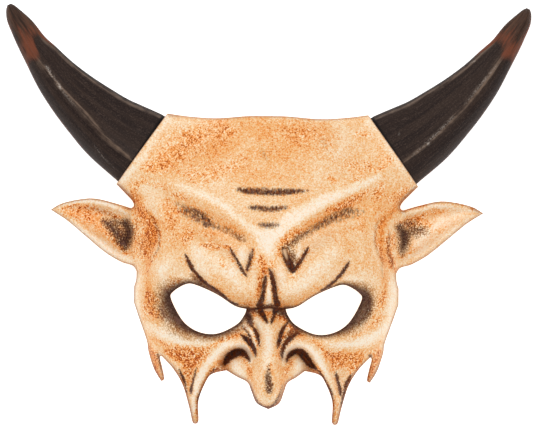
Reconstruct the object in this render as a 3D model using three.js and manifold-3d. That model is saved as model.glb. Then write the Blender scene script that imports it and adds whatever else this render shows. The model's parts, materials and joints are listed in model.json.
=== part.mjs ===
// Krampus half mask: a cast latex face, open behind, with a horn plugged into each side of the brow.
// Millimetres. The mask lies on its rims, face up: +Y runs to the horns and +Z out of the face.
import * as THREE from 'three';
import { mergeVertices } from 'three/addons/utils/BufferGeometryUtils.js';
import Module from 'manifold-3d';

const wasm = await Module();
wasm.setup();

// Shell
const wall = 3.5; // latex thickness
const rimInset = 1.8; // the dome's own edge lies this far outside the cut edge
const domePower = 2.3; // 2 is an ellipse across the face, more is boxier
const domeLeast = 0.06; // keeps the flanks upright where the edge is cut
const lean = 2; // the nose and the frown lines sit this far to +X
const fit = 0.3; // gap round each horn in its collar
const faceColumns = 24; // columns of the carved surface from the middle to a flank
const middleCrowding = 0.86; // draws the columns together over the nose
const beyondFace = [6, 14, 23, 34, 46, 60]; // further columns over the ears and collars, out from the flank
const lowerRows = 27; // rows over the nose and prongs
const upperRows = 25; // rows from the eyes to the forehead
const rowLimits = [-146, -62, 70];
const hollowColumns = 20;
const hollowRows = 27;
const hollowReach = [-150, 72];
const flankCrowding = 0.45; // draws the hollow's columns together at the flanks
const belowFloor = -1;
const aboveAll = 120;

// Crown of the dome along the middle, [y, z], and its half width, [y, x]
const crown = [
  [68, 42], [40, 55], [10, 64.5], [-20, 69], [-50, 68.5], [-70, 62], [-95, 56], [-120, 46], [-145, 34],
];
const halfWidth = [
  [68, 108], [40, 106], [20, 100], [4, 94], [-20, 91.5], [-60, 92], [-72, 88],
  [-85, 84], [-97, 81.5], [-114, 76], [-130, 66], [-145, 58],
];

// Cut edge of the +X half, from the middle of the forehead round to the middle of the nose
const seatTop = [68.3, 67.8];
const seatLow = [102.6, 19.4];
const edge = {
  forehead: [[0, 66.5], [14, 66.3], [34, 64.8], [52, 65.7], seatTop],
  seat: [seatTop, seatLow],
  notch: [seatLow, [97.2, 14], [91.6, 8], [90.6, 4.6], [92.6, 3.2]],
  earTop: [[92.6, 3.2], [104, 6.6], [117, 9.5], [128, 8.8], [140, 5.9], [147.3, 1.6]],
  earLow: [[147.3, 1.6], [136, -5.6], [123, -16.4], [110, -27], [99, -33.4], [91, -36], [88.2, -40]],
  temple: [[88.2, -40], [88.6, -45.5], [90, -50]],
  strapLanding: [[90, -50], [90, -61]],
  cheekSide: [[90, -61], [86.6, -71], [81, -87], [79.8, -94.5], [76, -106], [71, -114.2]],
  shortProng: [[71, -114.2], [69, -112.6], [70.4, -105], [72, -98.5], [71, -96.8]],
  cheekLow: [[71, -96.8], [62.9, -105.4], [56.4, -116.3], [51.9, -131], [49.4, -141.6], [47, -143]],
  longProng: [[47, -143], [45.3, -140.5], [45.4, -127], [40.2, -113.5], [36, -108.6], [26.5, -106.2]],
  nose: [[26.5, -106.2], [20, -110.4], [13.6, -114], [11, -120], [7.6, -127.8], [0, -131.8]],
};
const eyeHole = [
  [13.4, -64.4], [21.4, -62.3], [33.2, -54.8], [46.5, -48.9], [54, -47.9], [63, -53.2], [64.4, -58.5],
  [56.3, -73], [45.6, -80.2], [33, -81.2], [20, -75], [14.8, -68.5], [13.4, -64.4],
];

// Broad forms and carved lines of the +X half. Rise is in +Z, and inside is the share that the back follows.
const mounds = [
  { name: 'brow pad', at: [31, -39], size: [31, 14.5], turn: 36, crisp: 1.6, rise: 9, inside: 0.5 },
  { name: 'brow corner', at: [12, -54], size: [9, 10], turn: 10, crisp: 1.3, rise: 3, inside: 0 },
  { name: 'outer lid', at: [70, -37], size: [13, 9], turn: -30, crisp: 1.2, rise: 4.5, inside: 0.8 },
  { name: 'eye basin', at: [66, -62], size: [12, 14], turn: -20, crisp: 1, rise: -5, inside: 1.1 },
  { name: 'nostril lobe', at: [18, -106], size: [8.5, 8.5], turn: 0, crisp: 1.3, rise: 13, inside: 0.5 },
  { name: 'prong panel', at: [53.5, -113], size: [4.5, 12], turn: 12, crisp: 1.2, rise: -3.4, inside: 1 },
];
const strokes = [
  {
    name: 'brow crest', width: 6.5, rise: 3.4, inside: 0.3,
    line: [[90, 31], [70, 21.5], [50, 11.5], [30, 0.5], [14, -11], [0, -21]],
  },
  {
    name: 'brow hollow', width: 8.5, rise: -4.6, inside: 1,
    line: [[80, 13], [62, 4.5], [44, -5], [26, -17], [12, -27]],
  },
  {
    name: 'outer brow crease', width: 3.2, rise: -3, inside: 0.5,
    line: [[57, -28], [51, -39], [42, -47.5]],
  },
  {
    name: 'inner frown crease', width: 2.6, rise: -3.2, inside: 0.3,
    line: [[11, -23], [14, -32], [16, -40]],
  },
  {
    name: 'outer frown crease', width: 2.4, rise: -3, inside: 0.3,
    line: [[27, -22], [22, -31], [16, -40]],
  },
  {
    name: 'middle furrow', width: 2.3, ends: 0.2, rise: -3.8, inside: 0,
    line: [[1.2, -34], [2.6, -46], [4.6, -55], [6, -63]],
  },
  {
    name: 'lower lid', width: 6, rise: 3.2, inside: 0.6,
    line: [[24, -84], [40, -88], [58, -83], [70, -68]],
  },
  { name: 'inner nose fold', line: [[14, -74], [11, -82], [8.4, -92]], width: 2.6, rise: 3, inside: 0 },
  {
    name: 'outer nose fold', width: 2.4, rise: 3, inside: 0,
    line: [[21, -79.5], [15.5, -83], [11.5, -88]],
  },
  {
    name: 'nose groove', width: 2.2, ends: 0.2, rise: -2.6, inside: 0,
    line: [[21, -83.5], [14.5, -86.5], [10.5, -92], [9.8, -99]],
  },
  {
    name: 'bridge groove', width: 1.8, ends: 0.2, rise: -2.2, inside: 0,
    line: [[10.5, -74], [8.2, -81], [6.8, -89]],
  },
  {
    name: 'nostril arch', width: 6.2, ends: 0.06, crisp: 1.2, rise: 7, inside: 0.35,
    line: [
      [9.5, -101], [12, -93.5], [17.5, -89], [24, -89.5], [31, -94.5], [36.5, -103], [41, -112], [45, -122],
      [47.5, -136], [47.5, -146],
    ],
  },
  {
    name: 'nostril pocket', width: 3.2, ends: 0.1, rise: -9.5, inside: 0,
    line: [[11.2, -104], [12.5, -97.5], [17, -94.2], [22, -95], [27, -99.5], [31, -105]],
  },
  {
    name: 'cheek edge', width: 3, ends: 0.2, rise: 1.8, inside: 0,
    line: [[66, -98], [60, -107], [55.5, -117], [51, -134]],
  },
  {
    name: 'ear root crease', width: 3.4, ends: 0.2, rise: -2.6, inside: 0.5,
    line: [[86, 9], [77, -2], [74.5, -13], [78, -24], [82, -34], [82, -46]],
  },
];
const foreheadLines = [
  { name: 'long wrinkle', line: [[-24, 17], [0, 15], [28, 17]], width: 2, rise: -1.3 },
  { name: 'middle wrinkle', line: [[-14, 5], [0, 4], [16, 5.5]], width: 1.9, rise: -1 },
  { name: 'short wrinkle', line: [[-8, -6], [1, -7.2], [9, -6]], width: 1.7, rise: -0.8 },
];

// Nose: its rise over the dome and its half breadth, by y, and how round the tip is
const noseRise = [[-60, 0], [-70, 3], [-84, 14], [-100, 30], [-116, 43], [-132, 44]];
const noseBreadth = [[-60, 8], [-84, 8.6], [-98, 11], [-108, 13.5], [-118, 16], [-132, 17]];
const noseCrisp = 2.6;
const noseTipRadius = 8;
const noseHollow = [[-60, 0], [-84, 10], [-96, 22], [-103, 26], [-109, 0]];
const noseTipBack = { y: -113, z: 65, half: 17 }; // the hanging tip is solid in front of this height
const noseHollowBreadth = 0.62; // share of the outer breadth

// Step at the root of the nose, and what the back gives up behind deep carving
const rootStep = { y: -66, width: 5, rise: -7, from: 24, to: 12 };
const thickened = [
  { name: 'behind the middle furrow', at: [0, -50], size: [16, 24], turn: 0, crisp: 1.2, rise: -4 },
  { name: 'behind the nose root', at: [8, -74], size: [16, 13], turn: 0, crisp: 1.2, rise: -6 },
  { name: 'behind the nostril', at: [22, -99], size: [14, 11], turn: 0, crisp: 1.4, rise: -12 },
];

// Ear: a leaf-shaped plate with a raised rim round a hollow
const ear = { tipZ: 13, rootZ: 16, blendZ: 27, from: 68, to: 103, low: -40, high: 12, under: 7, blend: 5 };
const earUnder = { flank: [-44, 4.6], points: 8, outside: [[94, 7.5], [104, 13], [160, 13], [160, -44]] };
const earRim = { rise: 2.4, at: 2.6, width: 2.4 };
const earBowl = { depth: 4.6, from: 4, to: 12, inner: [88, 98], outer: [118, 142] };

// Underside of a short prong, off the floor towards its tip, as [y, z]
const prongUnder = { across: [66, 92], slope: [[-118, 13], [-93, belowFloor / 2]] };

// Collars and horns
const collar = { z: 20.5, depth: 18.5, skin: 2.2, side: 1.2, spread: 0.5, from: 2, to: 46, shell: 1.7 };
const collarBack = { from: 15, to: 23 }; // the bulkhead behind the horn root, measured in from the seat
const collarUnder = { upper: -62, lower: 36, outward: -4, inward: 19, points: 14 }; // space below a collar
const rootLength = 10.5;
const rootTaper = 3; // how much narrower the root is at its end
const hornSpine = [
  [76.9, 37.5], [86, 43.6], [106, 56.5], [119.1, 67.4], [131.8, 79.1], [143.5, 91.7], [152.8, 103.8],
  [160.2, 113.6], [167, 124.5], [172.8, 133], [176.9, 141.2],
];
const hornHalfWidth = [
  [0, 27.5], [24, 23.9], [58, 18.1], [91, 12.3], [103, 10], [116, 8.4], [126, 6.2], [135.5, 2.4],
];
const hornDepth = { share: 0.6, least: 2 }; // half depth from half width
const hornLift = [[0, 2], [30, 0.4], [60, 0], [90, 0.4], [135, 6]];
const hornRidge = 0.26; // where the front ridge runs, from -1 at the upper edge to 1 at the lower
const hornPanelDip = 0.1;
const tipCrowding = 1.25; // draws the rings together towards the tip
const hornSides = 20;
const hornRings = 16;

const clamp = THREE.MathUtils.clamp;

function smooth(from, to, value) {
  const t = clamp((value - from) / (to - from), 0, 1);
  return t * t * (3 - 2 * t);
}

// A smooth curve of value over position through its knots
function profile(knots) {
  const k = [...knots].sort((a, b) => a[0] - b[0]);
  const slope = k.map((_, i) => {
    const a = k[Math.max(i - 1, 0)];
    const b = k[Math.min(i + 1, k.length - 1)];
    return (b[1] - a[1]) / (b[0] - a[0]);
  });
  return (position) => {
    const p = clamp(position, k[0][0], k[k.length - 1][0]);
    let i = 0;
    while (i < k.length - 2 && p > k[i + 1][0]) i += 1;
    const h = k[i + 1][0] - k[i][0];
    const t = (p - k[i][0]) / h;
    return (2 * t ** 3 - 3 * t ** 2 + 1) * k[i][1] + (t ** 3 - 2 * t ** 2 + t) * h * slope[i]
      + (3 * t ** 2 - 2 * t ** 3) * k[i + 1][1] + (t ** 3 - t ** 2) * h * slope[i + 1];
  };
}

function curvePoints(points, steps) {
  const curve = new THREE.SplineCurve(points.map((p) => new THREE.Vector2(...p)));
  return curve.getPoints(steps * (points.length - 1));
}

// Distance from a point to a line, and how far along the line the nearest place is
function nearest(x, y, points) {
  let best = Infinity;
  let along = 0;
  let run = 0;
  for (let i = 0; i < points.length - 1; i += 1) {
    const dx = points[i + 1].x - points[i].x;
    const dy = points[i + 1].y - points[i].y;
    const length = Math.hypot(dx, dy);
    const t = clamp(((x - points[i].x) * dx + (y - points[i].y) * dy) / length ** 2, 0, 1);
    const distance = Math.hypot(x - points[i].x - t * dx, y - points[i].y - t * dy);
    if (distance < best) {
      best = distance;
      along = run + t * length;
    }
    run += length;
  }
  return { distance: best, share: along / run };
}

function moundShape(x, y, mound) {
  const turn = THREE.MathUtils.degToRad(mound.turn);
  const dx = x - mound.at[0];
  const dy = y - mound.at[1];
  const u = (dx * Math.cos(turn) + dy * Math.sin(turn)) / mound.size[0];
  const v = (dy * Math.cos(turn) - dx * Math.sin(turn)) / mound.size[1];
  return Math.exp(-((u * u + v * v) ** mound.crisp));
}

const strokeSteps = 5;
for (const stroke of [...strokes, ...foreheadLines]) stroke.points = curvePoints(stroke.line, strokeSteps);

function strokeShape(x, y, stroke) {
  const { distance, share } = nearest(x, y, stroke.points);
  const ends = stroke.ends ?? 0.3;
  const fade = smooth(0, ends, share) * smooth(0, ends, 1 - share);
  return fade * Math.exp(-(((distance / stroke.width) ** 2) ** (stroke.crisp ?? 1)));
}

const crownAt = profile(crown);
const halfWidthAt = profile(halfWidth);
const noseRiseAt = profile(noseRise);
const noseBreadthAt = profile(noseBreadth);
const noseHollowAt = profile(noseHollow);

function dome(x, y, height, half, least) {
  const q = clamp(1 - (Math.abs(x) / half) ** domePower, least, 1);
  return height * q ** (1 / domePower);
}

// Place along the seat edge, place inwards from it, and half its length
const seatRun = { x: seatLow[0] - seatTop[0], y: seatLow[1] - seatTop[1] };
const seatLength = Math.hypot(seatRun.x, seatRun.y);
const seatMiddle = { x: (seatLow[0] + seatTop[0]) / 2, y: (seatLow[1] + seatTop[1]) / 2 };
const seatDirection = { x: seatRun.x / seatLength, y: seatRun.y / seatLength };

function seatPlace(x, y) {
  const dx = x - seatMiddle.x;
  const dy = y - seatMiddle.y;
  return {
    along: dx * seatDirection.x + dy * seatDirection.y,
    inward: dx * seatDirection.y - dy * seatDirection.x,
  };
}

// Front of a horn's section, 0 at both edges and 1 on the ridge, with the upper panel dished
function sectionFront(t) {
  const upper = t < hornRidge;
  const u = upper ? (hornRidge - t) / (1 + hornRidge) : (t - hornRidge) / (1 - hornRidge);
  const tent = (1 - clamp(u, 0, 1) ** 1.5) ** (1 / 1.6);
  return tent - (upper ? hornPanelDip * Math.sin(Math.PI * clamp(u, 0, 1)) ** 2 : 0);
}

const earLines = [curvePoints(edge.earTop, strokeSteps), curvePoints(edge.earLow, strokeSteps)];

function earShape(x, y) {
  const root = 1 - smooth(ear.from, ear.to, x);
  const plate = ear.tipZ + (ear.rootZ - ear.tipZ) * smooth(140, 100, x) + ear.blendZ * root;
  const inset = Math.min(...earLines.map((line) => nearest(x, y, line).distance));
  const rim = earRim.rise * Math.exp(-(((inset - earRim.at) / earRim.width) ** 2)) * smooth(86, 94, x);
  const bowl = earBowl.depth * smooth(earBowl.from, earBowl.to, inset) * smooth(...earBowl.inner, x)
    * (1 - smooth(...earBowl.outer, x));
  return plate + rim - bowl;
}

const noseOtherSide = edge.nose.slice(0, -1).reverse().map(([x, y]) => [-x, y]);
const noseLine = curvePoints([...edge.nose, ...noseOtherSide], strokeSteps);

// How far the middle of the face leans to +X at a place
function leanAt(x, y) {
  return lean * Math.exp(-((x / 22) ** 2)) * smooth(15, -15, y);
}

// Arch of skin over a horn root, and how far a place belongs to it
function collarArch(x, y) {
  const { along, inward } = seatPlace(x, y);
  const reach = seatLength / 2 + collar.side + collar.spread * Math.max(inward, 0);
  const arch = collar.z + (collar.depth + collar.skin) * sectionFront(clamp(along / reach, -1, 1));
  return { arch, weight: (1 - smooth(collar.from, collar.to, inward)) * smooth(2, 16, y) };
}

// Height of the carved front
function front(xTrue, y) {
  const xLean = xTrue - leanAt(xTrue, y);
  const x = Math.abs(xLean);
  let z = dome(x, y, crownAt(y), halfWidthAt(y), domeLeast);
  if (x > ear.from - 4 && y > ear.low && y < ear.high) {
    const toEar = smooth(ear.low, ear.low + 10, y) * smooth(ear.high, ear.high - 8, y) * smooth(66, 78, x);
    const blended = ear.blend * Math.log(Math.exp(z / ear.blend) + Math.exp(earShape(x, y) / ear.blend));
    z += toEar * (blended - z);
  }
  if (x > halfWidthAt(y) && y > ear.low && y < ear.high) z = earShape(x, y);
  const { arch, weight } = collarArch(x, y);
  z += weight * (arch - z);
  for (const mound of mounds) z += mound.rise * moundShape(x, y, mound);
  for (const stroke of strokes) z += stroke.rise * strokeShape(x, y, stroke);
  for (const stroke of foreheadLines) z += stroke.rise * strokeShape(xTrue, y, stroke);
  const step = Math.exp(-(((y - rootStep.y) / rootStep.width) ** 2));
  z += rootStep.rise * step * smooth(rootStep.from, rootStep.to, x);
  z += noseRiseAt(y) * Math.exp(-((x / noseBreadthAt(y)) ** noseCrisp));
  const fromEdge = noseTipRadius - clamp(nearest(xLean, y, noseLine).distance, 0, noseTipRadius);
  const tip = smooth(-108, -122, y) * smooth(22, 14, x);
  z -= tip * (noseTipRadius - Math.sqrt(noseTipRadius ** 2 - fromEdge ** 2));
  return z;
}

// Height of the wearer's side
function back(xTrue, y) {
  const x = Math.abs(xTrue - leanAt(xTrue, y));
  const half = halfWidthAt(y) - rimInset - wall;
  let z = dome(x, y, crownAt(y) - wall, half, 0);
  const { arch, weight } = collarArch(x, y);
  z += weight * (Math.min(arch - wall, z) - z);
  const open = clamp(z / 10, 0, 1);
  for (const mound of mounds) z += open * mound.inside * mound.rise * moundShape(x, y, mound);
  for (const stroke of strokes) z += open * stroke.inside * stroke.rise * strokeShape(x, y, stroke);
  for (const mound of thickened) z += mound.rise * moundShape(x, y, mound);
  const breadth = noseBreadthAt(y) * noseHollowBreadth;
  z += noseHollowAt(y) * Math.exp(-((x / breadth) ** noseCrisp));
  z *= smooth(collarBack.from, collarBack.to, seatPlace(x, y).inward);
  return z > 0.1 ? z : belowFloor / 2;
}

function solidOf(geometry) {
  geometry.deleteAttribute('normal');
  geometry.deleteAttribute('uv');
  const merged = mergeVertices(geometry, 1e-4);
  return new wasm.Manifold(new wasm.Mesh({
    numProp: 3,
    vertProperties: new Float32Array(merged.attributes.position.array),
    triVerts: new Uint32Array(merged.index.array),
  }));
}

function geometryOf(solid) {
  const mesh = solid.getMesh();
  const geometry = new THREE.BufferGeometry();
  geometry.setAttribute('position', new THREE.BufferAttribute(new Float32Array(mesh.vertProperties), 3));
  geometry.setIndex(new THREE.BufferAttribute(new Uint32Array(mesh.triVerts), 1));
  geometry.computeVertexNormals();
  return geometry;
}

// A closed block from a flat floor up to a grid of points, each cell split along its flatter diagonal
function blockUnder(rows, floor) {
  const down = rows.map((row) => row.map(([x, y]) => [x, y, floor]));
  const positions = [];
  const face = (...corners) => positions.push(...corners.flat());
  for (let j = 0; j < rows.length - 1; j += 1) {
    for (let i = 0; i < rows[j].length - 1; i += 1) {
      const [a, b, c, d] = [rows[j][i], rows[j][i + 1], rows[j + 1][i + 1], rows[j + 1][i]];
      if (Math.abs(a[2] - c[2]) < Math.abs(b[2] - d[2])) {
        face(a, b, c);
        face(a, c, d);
      } else {
        face(a, b, d);
        face(b, c, d);
      }
      const [e, f, g, h] = [down[j][i], down[j][i + 1], down[j + 1][i + 1], down[j + 1][i]];
      face(e, g, f);
      face(e, h, g);
    }
  }
  const side = (tops, floors) => {
    for (let i = 0; i < tops.length - 1; i += 1) {
      face(floors[i], floors[i + 1], tops[i + 1]);
      face(floors[i], tops[i + 1], tops[i]);
    }
  };
  const last = rows[0].length - 1;
  const column = (grid, i) => grid.map((row) => row[i]);
  side(rows[0], down[0]);
  side(column(rows, last), column(down, last));
  side([...rows[rows.length - 1]].reverse(), [...down[down.length - 1]].reverse());
  side(column(rows, 0).reverse(), column(down, 0).reverse());
  const geometry = new THREE.BufferGeometry();
  geometry.setAttribute('position', new THREE.Float32BufferAttribute(positions, 3));
  return solidOf(geometry);
}

function spread(from, to, count) {
  return Array.from({ length: count + 1 }, (_, i) => from + ((to - from) * i) / count);
}

// Prism of an outline, straight up from one height to another
function prism(points, from, to) {
  const shape = new THREE.Shape(points.map(([x, y]) => new THREE.Vector2(x, y)));
  const geometry = new THREE.ExtrudeGeometry(shape, { depth: to - from, bevelEnabled: false, steps: 1 });
  geometry.translate(0, 0, from);
  return solidOf(geometry);
}

const mirrored = (points) => points.map(([x, y]) => [-x, y]).reverse();

// The cut edge all the way round, with the nose leaning as the face does
const edgeSteps = {
  forehead: 2, seat: 1, notch: 2, earTop: 3, earLow: 3, temple: 2, strapLanding: 1,
  cheekSide: 3, shortProng: 2, cheekLow: 3, longProng: 3, nose: 4,
};
const halfEdge = Object.entries(edge).flatMap(([name, points]) => curvePoints(points, edgeSteps[name])
  .slice(0, -1).map((p) => [p.x, p.y]));
const noseEnd = edge.nose[edge.nose.length - 1];
const wholeEdge = [...halfEdge, noseEnd, ...mirrored(halfEdge.slice(1))].map(([x, y]) => {
  const onNose = smooth(-100, -112, y) * smooth(30, 20, Math.abs(x));
  return [x + onNose * leanAt(x, y), y];
});
const eyeEdge = curvePoints(eyeHole, 3).slice(0, -1).map((p) => [p.x, p.y]);

// Carved front, cut to the outline. Its grid follows the flanks and runs on over collars and ears.
const acrossFace = spread(0, 1, faceColumns).map((u) => u * (middleCrowding + (1 - middleCrowding) * u));
function frontX(column, y) {
  const flank = halfWidthAt(y) - rimInset;
  const outer = column - acrossFace.length;
  return outer < 0 ? acrossFace[column] * flank : flank + beyondFace[outer];
}
const columns = acrossFace.length + beyondFace.length;
const [lowest, atEyes, highest] = rowLimits;
const rowsY = [...spread(lowest, atEyes, lowerRows), ...spread(atEyes, highest, upperRows).slice(1)];
const frontRows = rowsY.map((y) => {
  const half = Array.from({ length: columns }, (_, column) => frontX(column, y));
  return [...half.slice(1).reverse().map((x) => -x), ...half].map((x) => [x, y, front(x, y)]);
});
let face = blockUnder(frontRows, 0).intersect(prism(wholeEdge, belowFloor, aboveAll));
for (const points of [eyeEdge, mirrored(eyeEdge)]) {
  face = face.subtract(prism(points, belowFloor, aboveAll));
}

// Hollow behind the dome: its grid follows the flanks, so the side walls stay true
const backColumns = spread(-1, 1, hollowColumns).map((u) => {
  const eased = Math.sin((u * Math.PI) / 2);
  return eased * flankCrowding + u * (1 - flankCrowding);
});
const backRows = spread(...hollowReach, hollowRows).map((y) => {
  const half = halfWidthAt(y) - rimInset - wall;
  return backColumns.map((u) => [u * half, y, back(u * half, y)]);
});
face = face.subtract(blockUnder(backRows, belowFloor));

function seatPoint(along, inward) {
  return [
    seatMiddle.x + along * seatDirection.x + inward * seatDirection.y,
    seatMiddle.y + along * seatDirection.y - inward * seatDirection.x,
  ];
}

// Space under a collar: what lies below the oval underside of the horn's sleeve
function collarSpace(side) {
  const half = seatLength / 2 + collar.side;
  const depth = collar.depth + collar.shell;
  const oval = spread(-Math.PI / 2, Math.PI / 2, collarUnder.points)
    .map((turn) => [Math.sin(turn) * half, collar.z - depth * Math.cos(turn)]);
  const section = [[collarUnder.upper, collar.z], ...oval, [collarUnder.lower, collar.z]];
  const rows = [collarUnder.outward, collarUnder.inward].map((inward) => section.map(([along, z]) => {
    const [x, y] = seatPoint(along, inward);
    return [x * side, y, z];
  }));
  return blockUnder(side > 0 ? rows.reverse() : rows, belowFloor);
}

// Space under an ear, out from the flank
function earSpace(side) {
  const flank = spread(...earUnder.flank, earUnder.points).map((y) => [halfWidthAt(y) - rimInset, y]);
  const points = [...flank, ...earUnder.outside].map(([x, y]) => [x * side, y]);
  return prism(points, belowFloor, ear.under);
}

// Space under a short prong, which rises off the floor to its tip
function prongSpace(side) {
  const across = prongUnder.across.map((x) => x * side);
  const rows = prongUnder.slope.map(([y, z]) => across.map((x) => [x, y, z]));
  return blockUnder(side > 0 ? rows : rows.map((row) => row.reverse()), belowFloor);
}

// Rings of a horn from the end of its root to its tip, grown by a gap where they cut its socket
const spineCurve = new THREE.CatmullRomCurve3(hornSpine.map(([x, y]) => new THREE.Vector3(x, y, 0)));
const widthAt = profile(hornHalfWidth);
const liftAt = profile(hornLift);

function hornRing(run, total, grow) {
  const share = clamp((run + rootLength) / total, 0, 1);
  const centre = spineCurve.getPointAt(share);
  const tangent = spineCurve.getTangentAt(share);
  const across = new THREE.Vector2(tangent.y, -tangent.x);
  const taper = rootTaper * clamp(-run / rootLength, 0, 1);
  const half = widthAt(run) - taper + grow;
  const depth = widthAt(run) * hornDepth.share + hornDepth.least - taper + grow;
  const z = widthAt(run) * hornDepth.share + hornDepth.least + Math.max(liftAt(run), 0);
  return Array.from({ length: hornSides }, (_, i) => {
    const turn = (i * 2 * Math.PI) / hornSides;
    const t = Math.cos(turn);
    const bulge = Math.sin(turn) > 0 ? sectionFront(t) : -Math.sqrt(Math.max(1 - Math.abs(t) ** 2.4, 0));
    const height = i % (hornSides / 2) === 0 ? 0 : depth * bulge;
    return [centre.x + across.x * half * t, centre.y + across.y * half * t, z + height];
  });
}

function loft(rings, side) {
  const positions = [];
  const place = ([x, y, z]) => [x * side, y, z];
  const triangle = (a, b, c) => positions.push(...(side > 0 ? [a, b, c] : [a, c, b]).flatMap(place));
  const middle = (ring) => [0, 1, 2].map((k) => ring.reduce((sum, point) => sum + point[k], 0) / ring.length);
  const first = rings[0];
  const last = rings[rings.length - 1];
  const count = first.length;
  for (let i = 0; i < count; i += 1) {
    const next = (i + 1) % count;
    for (let j = 0; j < rings.length - 1; j += 1) {
      triangle(rings[j][i], rings[j + 1][next], rings[j][next]);
      triangle(rings[j][i], rings[j + 1][i], rings[j + 1][next]);
    }
    triangle(middle(first), first[i], first[next]);
    triangle(middle(last), last[next], last[i]);
  }
  const geometry = new THREE.BufferGeometry();
  geometry.setAttribute('position', new THREE.Float32BufferAttribute(positions, 3));
  return solidOf(geometry);
}

const spineLength = spineCurve.getLength();
const hornEnd = spineLength - rootLength;

function horn(side) {
  const outside = spread(0, 1, hornRings).slice(1).map((u) => hornEnd * (1 - (1 - u) ** tipCrowding));
  const runs = [-rootLength, 0, ...outside];
  return loft(runs.map((run) => hornRing(run, spineLength, 0)), side);
}

function socket(side) {
  const rings = [-rootLength, 0, 6].map((run) => hornRing(run, spineLength, fit));
  const deeper = rings[0].map(([x, y, z]) => [x + fit * seatDirection.y, y - fit * seatDirection.x, z]);
  return loft([deeper, ...rings.slice(1)], side);
}

// Under the hanging tip of the nose, up to its solid back
const tipCorners = [[1, noseTipBack.y], [1, lowest], [-1, lowest], [-1, noseTipBack.y]];
const tipSpace = prism(tipCorners.map(([u, y]) => [u * noseTipBack.half, y]), belowFloor, noseTipBack.z);
face = face.subtract(tipSpace);
for (const side of [1, -1]) {
  for (const space of [collarSpace, earSpace, prongSpace, socket]) face = face.subtract(space(side));
}

const latex = new THREE.MeshStandardMaterial({ color: '#e9b98b', roughness: 0.62, metalness: 0 });
const hornBrown = new THREE.MeshStandardMaterial({ color: '#332b2a', roughness: 0.42, metalness: 0 });

const mask = new THREE.Group();

function addPiece(name, solid, material) {
  const mesh = new THREE.Mesh(geometryOf(solid), material);
  mesh.name = name;
  mask.add(mesh);
}

addPiece('mask_face', face, latex);
addPiece('horn_left', horn(-1), hornBrown);
addPiece('horn_right', horn(1), hornBrown);

const box = new THREE.Box3().setFromObject(mask);
mask.position.set(-(box.min.x + box.max.x) / 2, -(box.min.y + box.max.y) / 2, -box.min.z);

export default mask;
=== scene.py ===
# Horned half mask in painted latex, lying face up. Plans are in millimetres, the scene in metres.
import json

import bpy
import numpy as np
from mathutils import Matrix, Vector
from mathutils.geometry import delaunay_2d_cdt
from mathutils.kdtree import KDTree

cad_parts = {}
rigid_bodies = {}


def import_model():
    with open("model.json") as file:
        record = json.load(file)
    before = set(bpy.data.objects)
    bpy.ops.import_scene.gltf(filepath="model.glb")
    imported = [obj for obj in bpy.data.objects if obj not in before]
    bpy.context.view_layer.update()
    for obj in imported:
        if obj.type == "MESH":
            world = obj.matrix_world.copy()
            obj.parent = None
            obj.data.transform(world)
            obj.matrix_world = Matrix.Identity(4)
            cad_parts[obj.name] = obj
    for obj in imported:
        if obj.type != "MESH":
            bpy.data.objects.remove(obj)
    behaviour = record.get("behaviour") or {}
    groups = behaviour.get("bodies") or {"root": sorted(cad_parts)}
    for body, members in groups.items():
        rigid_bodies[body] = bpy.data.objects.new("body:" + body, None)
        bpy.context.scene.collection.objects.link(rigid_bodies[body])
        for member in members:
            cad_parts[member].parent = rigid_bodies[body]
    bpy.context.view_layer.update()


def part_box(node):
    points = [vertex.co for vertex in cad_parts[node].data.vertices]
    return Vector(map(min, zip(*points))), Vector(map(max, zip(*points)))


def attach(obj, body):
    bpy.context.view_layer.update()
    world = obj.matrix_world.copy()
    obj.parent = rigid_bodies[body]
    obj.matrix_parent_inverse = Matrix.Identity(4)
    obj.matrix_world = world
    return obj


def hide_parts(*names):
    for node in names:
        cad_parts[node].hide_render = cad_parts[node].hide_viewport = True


for thing in list(bpy.data.objects):
    bpy.data.objects.remove(thing)
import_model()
mm = 0.001

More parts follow.
